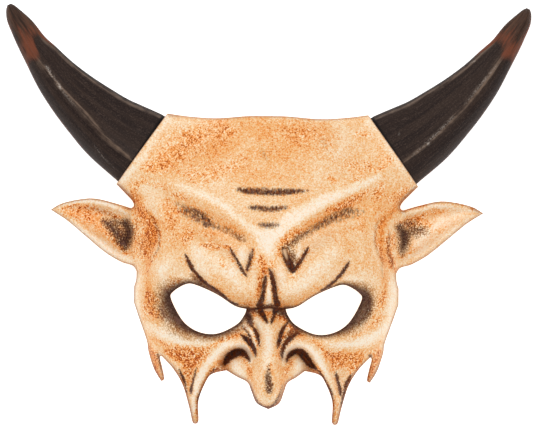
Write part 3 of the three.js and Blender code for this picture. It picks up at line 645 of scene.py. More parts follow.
def spineAt(count):
    # evenly spaced places and directions along a horn's middle line (centripetal, as the solid's)
    p = np.array(hornPlan["spine"], float)
    p = np.vstack([2 * p[0] - p[1], p, 2 * p[-1] - p[-2]])
    fine = []
    for p0, p1, p2, p3 in zip(p[:-3], p[1:-2], p[2:-1], p[3:]):
        d0, d1, d2 = (np.sqrt(np.hypot(*(b - a))) for a, b in ((p0, p1), (p1, p2), (p2, p3)))
        m1 = ((p1 - p0) / d0 - (p2 - p0) / (d0 + d1) + (p2 - p1) / d1) * d1
        m2 = ((p2 - p1) / d1 - (p3 - p1) / (d1 + d2) + (p3 - p2) / d2) * d1
        t = (np.arange(40) / 40)[:, None]
        fine.append((2 * t**3 - 3 * t**2 + 1) * p1 + (t**3 - 2 * t**2 + t) * m1 + (3 * t**2 - 2 * t**3) * p2
                    + (t**3 - t**2) * m2)
    fine = np.vstack([*fine, p[-2:-1]])
    runs = np.concatenate([[0], np.cumsum(np.hypot(*np.diff(fine, axis=0).T))])
    at = count * runs[-1] if np.ndim(count) else np.linspace(0, runs[-1], count)
    places = np.column_stack([np.interp(at, runs, fine[:, 0]), np.interp(at, runs, fine[:, 1])])
    slopes = np.gradient(fine, runs, axis=0)
    ways = np.column_stack([np.interp(at, runs, slopes[:, 0]), np.interp(at, runs, slopes[:, 1])])
    return places, ways / np.hypot(*ways.T)[:, None], at, runs[-1]


def hornLength():
    return spineAt(2)[3]


def buildHorn(name, side, shares, sides, grow=0.0, carved=True):
    h = hornPlan
    centre, way, at, total = spineAt(np.asarray(shares))
    run = at - h["rootLength"]
    taper = h["rootTaper"] * np.clip(-run / h["rootLength"], 0, 1)
    width = profile(h["halfWidth"], run)
    half = width - taper + grow
    depth = width * h["depthShare"] + h["depthLeast"] - taper + grow
    middle = width * h["depthShare"] + h["depthLeast"] + np.maximum(profile(h["lift"], run), 0)
    turn = np.linspace(0, 2 * np.pi, sides, endpoint=False)
    t = np.cos(turn)[None, :]
    over = np.sin(turn)[None, :] > 1e-6
    bulge = np.where(over, hornFront(t), -np.sqrt(np.maximum(1 - np.abs(t) ** 2.4, 0)))
    flat = np.isclose(np.abs(t), 1)
    z = middle[:, None] + depth[:, None] * np.where(flat, 0, bulge)
    if carved:
        along = run[:, None] + 0 * t
        nearTip, farTip = h["plainTip"]
        body = smooth(*h["plainRoot"], along) * smooth(total - nearTip, total - farTip, along)
        onBead = np.exp(-(((t - profile(ridgeShare[side], along)) / h["beadWidth"]) ** 2))
        z += np.where(over, h["bead"] * onBead * body, 0)
        z -= np.where(over, h["bandStep"] * smooth(h["band"] - 0.04, h["band"] + 0.04, t) * body
                      * smooth(h["band"] + 0.5, h["band"] + 0.1, t), 0)
        across = np.broadcast_to(t, along.shape) * width[:, None]
        (thin, thick), (long, short) = h["streakSizes"], h["streakStretch"]
        furrows = valueNoise(across + 300 * (side > 0), along / long, thin, 11)
        furrows = furrows + valueNoise(across, along / short, thick, 12)
        z += np.where(over, h["streaks"] * furrows * smooth(0, 0.2, 1 - np.abs(t)), 0)
    x = centre[:, :1] + way[:, 1:] * half[:, None] * t
    y = centre[:, 1:] - way[:, :1] * half[:, None] * t
    places = np.stack([x * side, y, z], axis=-1).reshape(-1, 3)
    rings = len(run)
    first = places[:sides].mean(axis=0)
    last = places[-sides:].mean(axis=0)
    places = np.vstack([places, first, last])
    ring, step = np.meshgrid(np.arange(rings - 1), np.arange(sides), indexing="ij")
    a, b = ring * sides + step, ring * sides + (step + 1) % sides
    quads = np.stack([a, a + sides, b + sides, b], axis=-1).reshape(-1, 4)
    ringPoint = np.arange(sides)
    following = (ringPoint + 1) % sides
    caps = np.vstack([np.column_stack([np.full(sides, rings * sides), ringPoint, following]),
                      np.column_stack([np.full(sides, rings * sides + 1), (rings - 1) * sides + following,
                                       (rings - 1) * sides + ringPoint])])
    faces = np.vstack([quads[:, [0, 1, 2]], quads[:, [0, 2, 3]], caps])
    if side < 0:
        faces = faces[:, ::-1]
    horn = meshObject(name, places, faces)
    return horn, (run, t, width)


def cutSocket(side):
    h = hornPlan
    shares = np.linspace(0, (h["rootLength"] + h["cutterPast"]) / hornLength(), h["cutterRings"])
    cutter, _ = buildHorn("socketCutter", side, shares, h["sides"], grow=h["gap"], carved=False)
    cut = face.modifiers.new("socket", "BOOLEAN")
    cut.operation = "DIFFERENCE"
    cut.solver = "MANIFOLD"
    cut.object = cutter
    bpy.context.view_layer.update()
    evaluated = face.evaluated_get(bpy.context.evaluated_depsgraph_get())
    cutMesh = bpy.data.meshes.new_from_object(evaluated)
    face.modifiers.clear()
    face.data = cutMesh
    bpy.data.objects.remove(cutter)


for side in (1, -1):
    cutSocket(side)
print("sockets cut", len(face.data.polygons), "faces")


# Paint on the face. Strokes: strength, softness of the edge, then x, y and half width along the line.
sootStrokes = [
    ("longWrinkle", 0.62, 0.9, [(-21, 16.4, 0), (-18, 15.8, 1.0), (-11, 14.9, 1.3), (-3, 14.3, 1.4),
                                (6, 14.3, 1.4), (14, 14.7, 1.3), (21, 15.3, 0.9), (28.5, 16.1, 0)]),
    ("longWrinkleHatch", 0.42, 1.3, [(-21, 17, 0), (-17, 16.6, 1.1), (-8, 16, 1.4), (4, 15.8, 1.4),
                                     (14, 15.8, 1.2), (22, 16, 0.6), (27, 16.3, 0)]),
    ("middleWrinkle", 0.54, 1.1, [(-13.5, 4.4, 0), (-9, 4.2, 1.2), (0, 3.3, 1.7), (7, 3.6, 1.5),
                                  (12, 4.5, 0.9), (14.5, 4.9, 0)]),
    ("shortWrinkle", 0.46, 1.3, [(-6.5, -7, 0), (-2, -7.6, 1.4), (4, -7.5, 1.4), (9, -6.6, 0)]),
    ("leftBrowVeil", 0.36, 3.2, [(-61, 6, 0.5), (-53, 0.5, 2.6), (-44, -3, 3), (-36, -8, 1.6),
                                 (-27, -11.5, 1), (-16, -17, 1)]),
    ("leftBrowDark", 0.47, 1.8, [(-55.5, 3.4, 0.4), (-52.5, 2.3, 1.5), (-48.5, 1.6, 0.9), (-45, -0.6, 1.3),
                                (-42.5, -2.6, 1.5), (-39.3, -5.6, 1), (-38, -8, 0.2)]),
    ("leftBrowFoot", 0.45, 1.2, [(-43, -4, 0.5), (-42, -7.5, 1), (-41.5, -9, 0.2)]),
    ("leftTrailSpots", 0.4, 1.1, [(-30, -9.2, 0.2), (-27.5, -9.9, 0.8), (-25, -11, 0.1)]),
    ("leftTrailEnd", 0.4, 1.3, [(-21, -13.5, 0.2), (-19.3, -15.8, 0.9), (-18, -18, 0.1)]),
    ("rightBrowVeil", 0.3, 3.0, [(65, 2, 0.5), (55, 1, 2.6), (44, -3, 2.2), (34, -8.5, 1.6), (24, -14.5, 1.8),
                                  (16, -20.5, 2), (12, -24, 1.4)]),
    ("rightBrowDark", 0.28, 1.9, [(60, 2.4, 0.3), (55, 2.2, 1.5), (49, 0.6, 1.3), (43, -2.4, 1.3),
                                  (36, -7, 1.3), (30, -10, 0.6), (24.5, -13.6, 0.8), (19.5, -18, 1.2),
                                  (14, -21.5, 0.8), (12, -25, 0.9)]),
    ("leftFrownOut", 0.72, 0.42, [(-24.8, -23.2, 0.2), (-22.6, -27.3, 0.9), (-19.8, -31.8, 0.8),
                                  (-17.4, -35.8, 1.0), (-15.4, -39.6, 1.0), (-12.6, -42.8, 0)]),
    ("leftFrownIn", 0.76, 0.42, [(-9.2, -23.6, 0.2), (-10.2, -27.5, 1.0), (-11.3, -31.6, 1.0),
                                 (-12.1, -35.4, 0.9), (-13, -39, 0.3)]),
    ("leftFrownDot", 0.6, 0.5, [(-13.6, -34.6, 0.2), (-13.4, -36.4, 0.7), (-13.6, -38, 0.2)]),
    ("rightFrownIn", 0.97, 0.9, [(11.2, -22.6, 0.5), (12.6, -27, 1.6), (14.8, -32, 2.1), (16.9, -36.4, 2.2),
                                 (17.6, -39.2, 0.6)]),
    ("rightFrownOut", 0.93, 0.5, [(27.9, -22.8, 0.5), (26.2, -26.2, 0.8), (23.8, -30.2, 1.0),
                                  (21.4, -34, 1.1), (18.4, -38.6, 0.9)]),
    ("rightFrownFill", 0.42, 2.4, [(15, -23, 1), (18, -29, 2.4), (18.6, -35, 1.8)]),
    ("leftOuterBrow", 0.92, 0.5, [(-55.2, -27.4, 0.1), (-53.8, -30.4, 0.8), (-51.6, -35, 1.3),
                                  (-48.4, -39.7, 1.0), (-45, -43.6, 1.1), (-42, -46.4, 0.9),
                                  (-36.4, -50.2, 0.9), (-30, -54.8, 0.9), (-24, -59.6, 0.7),
                                  (-19, -61.6, 0.4)]),
    ("leftLidFold", 0.55, 1.6, [(-51, -41, 0.4), (-46.5, -45.6, 1.4), (-40.5, -49, 1.0), (-34, -52.4, 0.4)]),
    ("rightOuterBrow", 0.86, 0.5, [(56, -31.4, 0.1), (54.4, -34.6, 0.8), (51, -39.6, 1.0), (47, -44.2, 0.7),
                                  (42.4, -48, 0.8), (37, -51.4, 0.3)]),
    ("leftFurrow", 0.84, 0.5, [(-0.2, -41.2, 0.2), (-0.9, -45, 1.3), (-1.5, -50, 1.2), (-2.2, -54.6, 1.2),
                               (-3.2, -58.4, 1.6), (-4.4, -61.8, 2.2)]),
    ("rightFurrow", 0.88, 0.5, [(1.8, -36.6, 0.2), (3.0, -40.6, 1.1), (4.7, -46, 1.5), (5.4, -51, 1.5),
                                (6.2, -56, 1.6), (7.4, -60.6, 2.2)]),
    ("furrowFoot", 0.6, 1.2, [(-5, -61.8, 0.6), (1.4, -62.4, 1.0), (8, -61.6, 0.8)]),
    ("rootCrease", 0.95, 0.5, [(-14, -64.5, 0.6), (-8, -64.3, 0.8), (0, -63.6, 0.9), (8, -64.1, 1.0),
                               (15.6, -64.6, 0.8)]),
    ("leftRootPatch", 0.85, 1.5, [(-12.6, -65, 0.9), (-12, -69, 1.9), (-11, -72.6, 2.2), (-9.9, -75.8, 0.8)]),
    ("rightRootPatch", 0.75, 1.6, [(14.8, -65, 1.6), (16, -69, 1.6), (18, -73, 1.2), (21, -76.6, 1)]),
    ("rightRootDark", 0.7, 1.4, [(5.6, -65.4, 1), (9.6, -66.6, 1.8), (13.4, -68, 1.2), (14.4, -71, 0.3)]),
    ("leftRootDark", 0.6, 1.3, [(-11, -65.6, 0.8), (-6.6, -66, 1.0), (-3, -67, 1.6)]),
    ("rootDiamondLeft", 0.95, 0.5, [(-3.8, -65, 1.8), (-2, -68.6, 1.5), (-0.2, -71.6, 1.0), (1, -74, 0.3)]),
    ("rootDiamondRight", 0.9, 0.5, [(6.2, -65, 1.7), (5.2, -69, 1.1), (4.2, -72, 0.8), (3.3, -74.2, 0.2)]),
    ("leftBridge", 0.93, 0.5, [(-9.4, -76.2, 0.3), (-7, -79.2, 1.1), (-5.4, -83.6, 1.0), (-4.6, -87, 0.7),
                               (-4.1, -90, 0.1)]),
    ("leftFoldLine", 0.6, 0.42, [(-16.4, -75.6, 0.3), (-13.4, -79.2, 0.6), (-11, -83, 0.6),
                                 (-9.6, -86.4, 0.3)]),
    ("leftNoseGroove", 0.97, 0.6, [(-16.6, -82.2, 0.4), (-13, -84.8, 1.7), (-10, -88.2, 1.6),
                                   (-7.6, -92, 1.1), (-7, -96.4, 0.2)]),
    ("rightBridge", 0.93, 0.6, [(15.6, -72.4, 0.3), (12, -77, 0.9), (10, -82, 1.3), (8.8, -86.8, 1.3),
                                (8, -90.4, 0.2)]),
    ("rightNoseGroove", 0.93, 1.0, [(22.4, -79.6, 0.4), (18, -82.6, 1.4), (14.4, -86, 1.6), (12, -89.8, 1.2),
                                    (11, -94.4, 0.9), (10.7, -98.6, 0.1)]),
    ("rightFoldShade", 0.45, 2.4, [(24, -80.6, 0.6), (19, -79.6, 1.6), (14.5, -84, 1.4)]),
    ("leftNostril", 0.9, 0.6, [(-28.2, -102, 0.5), (-27, -100.2, 1.6), (-25, -97.4, 2.4),
                               (-21.6, -94.8, 2.8), (-18, -93.6, 2.4), (-14.6, -95, 1.8),
                               (-12.2, -97.4, 1.2), (-10.8, -100.4, 0.2)]),
    ("rightNostril", 0.9, 0.6, [(14.2, -100, 0.2), (15.4, -96.6, 1.1), (18, -93.9, 1.6), (21.6, -92.7, 2.0),
                                (25.2, -94.8, 2.5), (28.2, -98.8, 2.5), (31, -102.2, 1.8),
                                (35, -105.4, 0.4)]),
    ("noseCleft", 0.62, 1.4, [(2.2, -101.6, 0.2), (1.9, -106, 0.9), (1.8, -110.4, 1.8), (2.2, -114.6, 2.3),
                              (2.6, -118, 2.2), (2.8, -120, 0.8)]),
    ("noseRim", 0.6, 0.7, [(-11, -115, 0.1), (-8.6, -121.6, 0.5), (-4.4, -128.2, 0.6), (1, -130.9, 0.9),
                           (6, -128.2, 0.6), (9.6, -121.6, 0.4), (11.6, -115, 0.1)]),

    ("leftProngOuter", 0.95, 0.4, [(-58.6, -106, 0.2), (-57.4, -109, 0.6), (-56, -112, 0.7),
                                   (-54.6, -115.6, 0.6), (-53.9, -118.6, 0.1), (-53.4, -121, 0.4)]),
    ("leftProngInner", 0.85, 0.4, [(-46.8, -104.4, 0.1), (-48.2, -109.6, 0.4), (-49.4, -114.6, 0.5),
                                   (-50.4, -118.6, 0.8), (-50.5, -122.8, 0.3)]),
    ("rightProngInner", 0.8, 0.5, [(47.4, -106, 0.1), (48.4, -110, 1.0), (49.6, -114.6, 0.9),
                                   (50.7, -119.4, 1.1), (51, -123, 0.3)]),
    ("rightProngOuter", 0.75, 0.6, [(58.6, -108, 0.2), (56.4, -111.8, 1.0), (54.4, -116.4, 0.9),
                                    (53.4, -121, 0.7), (52.4, -126, 0.6), (51, -130.8, 0.1)]),
    ("leftArchEdge", 0.75, 0.6, [(-34, -104.8, 0.4), (-37.4, -109.4, 0.5), (-41.2, -116, 0.5),
                                 (-44.6, -123, 0.6), (-46, -128, 0.2)]),
    ("rightArchEdge", 0.8, 0.6, [(36, -106, 0.5), (39.6, -111, 0.5), (42.4, -116.6, 0.6), (45, -122, 0.6),
                                 (45, -129, 0.5), (44.8, -137, 0.3)]),
    ("rightShortTip", 0.8, 1.0, [(70.6, -102, 0.1), (69, -107, 0.6), (67.8, -111.6, 1.0)]),
    ("shortWebLeft", 0.5, 0.9, [(-73.4, -96.4, 0.8), (-72.4, -100, 0.4), (-71, -106, 0.2)]),
    ("shortWebRight", 0.7, 0.6, [(71.4, -95.6, 0.9), (71, -98.6, 0.2)]),
    ("leftEyeSmoke", 0.44, 4.4, [(-66, -54, 1), (-67, -60, 2.2), (-65, -67, 2.8), (-60, -73.4, 2),
                                 (-54, -78, 0.8)]),
    ("leftEyeGrit", 0.3, 2.6, [(-72, -64, 0.8), (-71, -68, 1.6), (-67, -72, 1.2)]),
    ("rightEyeSmoke", 0.62, 3.0, [(66, -51, 0.8), (69, -56, 2.2), (69.2, -62, 2.2), (66.4, -68, 1.8),
                                  (60.6, -73.4, 1.2), (55, -77.4, 0.5)]),
    ("rightEyeGrit", 0.34, 2.0, [(70.6, -60, 0.8), (69.4, -68, 1.2), (64, -74, 0.8)]),
    ("leftEarCore", 0.85, 3.0, [(-96.4, -7, 1.8), (-94.4, -11, 3), (-94.6, -16, 3.2), (-95.6, -20.4, 2.8),
                                (-97, -24, 1.2)]),
    ("leftEarSmoke", 0.66, 2.6, [(-111, -5.6, 1.2), (-106.6, -9, 2.8), (-102.4, -13.4, 3.4),
                                 (-99.4, -19, 3.2)]),
    ("leftEarTop", 0.5, 2.4, [(-105, -4.6, 0.6), (-100, -7, 1.8), (-95, -7, 1.4)]),
    ("rightEarCore", 0.85, 3.2, [(89.8, -8.6, 1.4), (92, -12.4, 2.2), (93.6, -17, 3), (92.6, -21.6, 2.2),
                                 (92, -25.8, 0.8)]),
    ("rightEarSmoke", 0.56, 4.4, [(95, -12, 3.4), (100.4, -10.6, 3), (105, -10, 2), (109, -11.4, 0.5)]),
    ("rightEarTop", 0.4, 3.0, [(91, -6.6, 0.8), (96, -5.6, 1.2), (101, -4.6, 0.6)]),
    ("foreheadSmudge", 0.12, 4.4, [(36, 52, 0.4), (37.6, 49, 1.4), (41, 43, 0.4)]),
    ("foreheadSmudgeLeft", 0.09, 5.0, [(-5, 46, 0.6), (-2, 40, 2), (0, 36, 0.6)]),
]
# the same for rust, which is sponged on in speckles
rustStrokes = [
    ("crownLeft", 0.5, 11, [(-72, 36, 4), (-60, 46, 7), (-46, 52, 6), (-30, 56, 4)]),
    ("crownLeftSpots", 0.6, 4, [(-56, 53, 1), (-49, 54, 3), (-45, 51, 1)]),
    ("collarLeftSpots", 0.85, 4, [(-84, 30, 1), (-77, 32, 3), (-71, 30, 1.5)]),
    ("collarMiddle", 0.55, 4, [(-71, 38, 1), (-65, 41, 3), (-58, 38, 1)]),
    ("crownSweep", 0.5, 7, [(-60, 27, 1), (-46, 26, 4), (-32, 29, 3.5), (-18, 34, 2)]),
    ("topSpots", 0.6, 4, [(-33, 61, 1), (-28, 57, 2.4), (-25, 54, 1)]),
    ("topRightSpots", 0.3, 9, [(12, 56, 3), (24, 55, 5), (38, 50, 4), (40, 40, 2)]),
    ("leftSeatRust", 0.8, 3, [(-83, 22, 1.4), (-89, 19, 1.6), (-92, 15, 1.6), (-90, 9, 1.6)]),
    ("leftUnderSeat", 0.5, 3, [(-78, 20, 1), (-73, 18, 1.6), (-68, 16, 1)]),
    ("leftHornSpot", 0.95, 2.2, [(-63, 11, 0.6), (-60, 11.6, 1.8), (-56, 9.4, 0.8)]),
    ("leftHornSpotLow", 0.7, 2.4, [(-64, 2, 0.8), (-58, 2, 1.4), (-56, 0, 1)]),
    ("leftFlank", 0.4, 7, [(-68, 4, 3), (-66, -6, 4), (-64, -16, 2)]),
    ("leftBrowBlot", 1.0, 2.4, [(-53.6, -10.6, 1), (-53.6, -15, 2.6), (-54.6, -19, 2.4)]),
    ("leftBrowLine", 1.0, 1.5, [(-45, -20.6, 0.6), (-38, -22.6, 1.4), (-30, -22.8, 1.2), (-26, -21.6, 0.9)]),
    ("leftBrowUnder", 0.6, 2.6, [(-44, -13, 1.2), (-38, -16, 1.6), (-39, -20, 1)]),
    ("leftPadBlot", 0.7, 2.0, [(-30.6, -29.6, 0.8), (-29.2, -33.6, 1.6), (-28, -36.6, 0.6)]),
    ("leftFrownRust", 0.6, 2.0, [(-26, -24, 0.6), (-20.6, -33, 1), (-16, -40.6, 0.8)]),
    ("leftFrownInRust", 0.7, 1.4, [(-8.4, -25, 0.6), (-10, -31.6, 0.9), (-12, -38, 0.9)]),
    ("rightFrownRust", 0.8, 1.8, [(30.6, -23.2, 0.5), (27.4, -24.4, 1.4), (24.4, -30.4, 0.9),
                                  (20, -37, 0.6)]),
    ("rightFrownFoot", 0.5, 2.6, [(16, -38, 0.6), (18, -42, 1.8), (22, -44, 0.6)]),
    ("rightBrowOver", 0.9, 2, [(68, 16, 1), (60, 10.6, 2.4), (54, 7.8, 2.2), (48, 5, 1.4), (41, 2, 0.8)]),
    ("rightBrowUnder", 0.4, 4, [(62, -2, 1.6), (65, -6, 2), (61, -10, 1.6)]),
    ("rightBrowFoot", 0.7, 3.0, [(25, -10.6, 0.8), (17, -15, 2.4), (10.6, -20.6, 2.2), (8.4, -26, 1)]),
    ("rightTempleSpots", 0.75, 3.4, [(78, 20, 1.4), (75, 16, 2.2), (74, 12, 1)]),
    ("rightUnderSeat", 0.55, 5, [(98, 16, 1), (91, 14, 3), (86, 11, 2.4)]),
    ("rightCollarSpots", 0.75, 2.4, [(67, 36, 0.6), (71, 31, 1.4), (75, 30, 1), (77, 34, 1.4)]),
    ("rightCollarEdge", 0.6, 2.4, [(60, 54.6, 1), (66, 55, 1.2), (70, 53, 0.6)]),
    ("rightCollarWash", 0.45, 6, [(56, 34, 3), (63, 30, 4), (60, 24, 2)]),
    ("rightStroke", 0.7, 1.6, [(40, 25, 0.4), (44, 23.4, 1.4), (48, 21.4, 0.4)]),
    ("rightSeatSpots", 0.6, 3, [(84, 38, 1), (80, 36, 1.6), (78, 40, 0.6)]),
    ("leftGlabella", 1.0, 2.2, [(-4.6, -29, 0.6), (-2.8, -34, 2.2), (-2.2, -40, 2.2), (-3.6, -47, 1.2)]),
    ("rightGlabella", 0.8, 1.6, [(4.6, -30.6, 0.3), (3.4, -34, 1.2), (5.6, -37.4, 0.5)]),
    ("furrowLeftSide", 0.7, 2.0, [(-4, -46, 1), (-5.4, -54, 1.2), (-7, -60.6, 1)]),
    ("furrowRightSide", 0.4, 2.0, [(7.4, -48, 0.6), (9.4, -56, 1), (11.4, -61.6, 1)]),
    ("rootLeftRust", 1.0, 2.0, [(-10.4, -66.4, 1), (-7.4, -67.6, 1.6), (-5, -68.6, 0.8)]),
    ("rootWedgeRust", 0.8, 1.8, [(1.6, -66, 1), (1.8, -69, 1.4), (2, -72, 0.6)]),
    ("rootRightRust", 1.0, 2.0, [(8, -67.6, 0.8), (10.6, -69, 1.8), (13.6, -69.6, 1.4)]),
    ("bridgeLeftRust", 0.8, 1.4, [(-9, -77, 0.6), (-7.4, -82, 0.8), (-5.4, -88, 0.7)]),
    ("lidEndRust", 0.8, 2.2, [(-14, -62.6, 0.8), (-11, -61.6, 1.2), (-16, -60.4, 1)]),
    ("leftUnderEyeRust", 0.75, 2.2, [(-27, -84, 1), (-22, -82.6, 1.6), (-17.4, -82.4, 0.8)]),
    ("leftGrooveRust", 0.8, 1.6, [(-13.6, -87.4, 0.8), (-11, -90.6, 1.2), (-8.8, -93.6, 0.8)]),
    ("rightGrooveRust", 0.8, 1.8, [(12, -84, 1), (10.6, -90, 1), (9.6, -96, 1)]),
    ("rightGrooveTop", 0.7, 2.6, [(14, -76, 0.8), (17.6, -77.6, 2), (23, -82, 1.4)]),
    ("cleftTop", 0.85, 1.8, [(2.6, -99.4, 0.5), (2.4, -103, 1.2), (3.6, -107, 0.8)]),
    ("leftLobeRust", 0.7, 2.6, [(-15.6, -97.6, 0.8), (-12.4, -101, 1.6), (-11.6, -106, 1.4),
                                (-12, -111, 0.5)]),
    ("rightLobeRust", 0.9, 1.8, [(15.6, -98.6, 0.8), (16.8, -101.4, 1.4), (14.4, -105, 1.2),
                                 (14, -109, 0.5)]),
    ("leftWebRust", 0.9, 1.8, [(-37.6, -106.4, 0.6), (-31, -105.4, 1.2), (-25.4, -106, 0.7)]),
    ("rightWebRust", 0.9, 1.6, [(29.6, -104.4, 0.5), (34, -106, 1), (39, -109, 0.6)]),
    ("leftArchTopRust", 0.8, 2.0, [(-27, -84.6, 0.6), (-35, -88.4, 1), (-39.4, -93, 1.2), (-42.4, -99, 1),
                                   (-46, -106, 0.8)]),
    ("rightArchTopRust", 0.85, 1.4, [(32, -85, 0.4), (37.6, -88.4, 0.9), (40, -92.6, 0.9), (43, -98, 0.8)]),
    ("leftCheek", 0.95, 3.6, [(-67, -94.4, 1), (-60, -96, 4), (-52, -97, 5), (-45, -95.4, 4)]),
    ("leftCheekDown", 0.9, 3.0, [(-52, -98, 6), (-52, -104, 3.6), (-51.4, -110, 1.6), (-50.6, -116, 0.4)]),
    ("rightCheekSpot", 1.0, 2.2, [(42.4, -94.4, 1), (46, -95.8, 2.2), (50.6, -94, 0.8)]),
    ("rightCheekSpotLow", 0.8, 2.0, [(44.6, -98, 1.2), (46.6, -102.6, 1.2), (47, -106, 0.3)]),
    ("rightCheekOut", 0.85, 3.0, [(56, -97.4, 1.6), (61, -96, 2.4), (61, -101.6, 2.2), (57, -104, 0.6)]),
    ("rightCheekWash", 0.4, 4.0, [(40, -97, 1), (52, -99, 5), (64, -96, 2)]),
    ("leftEyePocket", 1.0, 2.4, [(-79.6, -53, 0.8), (-78.4, -58, 2.4), (-75, -59.4, 1.4)]),
    ("leftEyeFoot", 0.75, 3.2, [(-80.6, -62, 1.4), (-79.6, -67, 2.6), (-74.6, -68, 1.6)]),
    ("leftLidRust", 0.7, 2.2, [(-68, -50.4, 0.8), (-62, -46.6, 1.2), (-56, -45.6, 0.6)]),
    ("leftPouch", 0.45, 3.0, [(-74, -86, 1), (-64, -90, 1.6), (-52, -91, 1)]),
    ("rightEyePocket", 0.85, 2.6, [(78.6, -53, 0.6), (79.4, -57.6, 2), (77.6, -62, 1.6)]),
    ("rightEyeFoot", 0.6, 3.6, [(74, -66, 1), (77, -70, 2), (70, -77, 1.4)]),
    ("rightPouch", 0.4, 3.0, [(58, -80, 1), (63, -82.4, 1.6), (66, -78, 1)]),
    ("rightCheekCorner", 0.6, 2.6, [(72, -92.6, 1), (76, -91.6, 1.6), (78, -94, 1)]),
    ("leftArc", 1.0, 0.5, [(-84, 4, 0.2), (-78.6, -1.4, 0.7), (-73.6, -10, 0.8), (-72.4, -20, 0.7),
                           (-76, -29.7, 0.5), (-81, -40, 0.2)]),
    ("leftEarInner", 0.6, 2.5, [(-90, -4, 2), (-88.6, -12, 2.4), (-89, -20, 2.4), (-91, -27, 2)]),
    ("leftEarFill", 0.55, 4, [(-92, 2, 1.4), (-84, -5, 4), (-80, -16, 5), (-84, -27, 4)]),
    ("rightArc", 0.6, 0.8, [(79.6, -3.6, 0.2), (75.6, -8, 0.8), (74, -15.7, 1.0), (76.4, -24.7, 0.9),
                            (80.4, -34, 0.2)]),
    ("rightEarEdge", 0.8, 0.8, [(91, 2.2, 0.5), (98, 4.4, 0.9), (106, 6.8, 0.7), (114, 8.4, 0.2)]),
    ("rightEarTip", 0.8, 0.7, [(130, 7.4, 0.2), (140, 5, 0.7), (146, 1.8, 0.4)]),
    ("leftTemple", 0.45, 3.4, [(-87, 0, 2), (-80, -7, 3.6), (-78.6, -16, 4), (-81, -24, 3.4),
                               (-86.4, -29, 2)]),
    ("leftEarRoot", 0.8, 2.6, [(-88.4, -15, 0.8), (-85, -19, 1.6), (-86, -27, 1.8)]),
    ("rightEarRoot", 1.0, 1.1, [(84, -11, 0.4), (82.2, -15.6, 1.0), (82.4, -21, 1.1), (83.6, -26.6, 1.3),
                                (85, -33, 1.1), (87, -37.6, 0.4)]),
    ("rightEarFill", 0.85, 2.4, [(88, -7, 1), (95, -4.6, 2), (103, -5, 2), (110, -8, 1)]),
    ("leftEarVein", 1.0, 1.6, [(-139, 2, 0.8), (-131, 3.2, 2), (-123, 3.2, 2), (-115, 1.4, 1.6),
                               (-107, -0.8, 1.2), (-99, -4.4, 1.2), (-92.6, -8, 0.6)]),
    ("leftEarBlot", 0.95, 1.8, [(-123, -0.6, 1), (-121.4, -4, 1.4), (-120, -8, 0.7)]),
    ("leftEarWash", 0.25, 5, [(-137, -1, 2), (-126, -3, 4), (-114, -8, 3)]),
    ("leftEarUnder", 0.75, 2.4, [(-112, -12, 0.6), (-107, -16, 1.8), (-101.6, -21.4, 1.6),
                                 (-95.6, -27, 1.2)]),
    ("rightEarVein", 0.8, 2.0, [(92, -5, 0.6), (99, -2.6, 1.4), (106, -0.4, 1.3), (113, 2.6, 1.2),
                                (124, 5, 0.6)]),
    ("rightEarUnder", 0.65, 2.4, [(86, -13, 1), (87, -22, 2), (90.4, -28, 1), (100, -24, 0.8)]),
    ("rightEarSpots", 0.5, 2.0, [(104, -12, 1), (109, -12, 1.2), (121.6, -8.6, 1.4)]),
    ("shortProngLeft", 0.7, 2.4, [(-78.6, -93, 0.8), (-75, -97, 1.8), (-75.6, -105, 1.2), (-73, -111, 1)]),
    ("shortProngRight", 0.7, 2.4, [(73.6, -94, 1), (75, -100, 1.6), (72.6, -107, 1), (70, -111, 0.8)]),
    ("longProngLeft", 0.6, 1.8, [(-44, -124, 0.6), (-47, -130, 0.9), (-46.6, -139, 0.7)]),
    ("longProngRight", 0.55, 2.0, [(47, -126, 0.8), (48, -133, 1), (48, -140, 0.8)]),
]
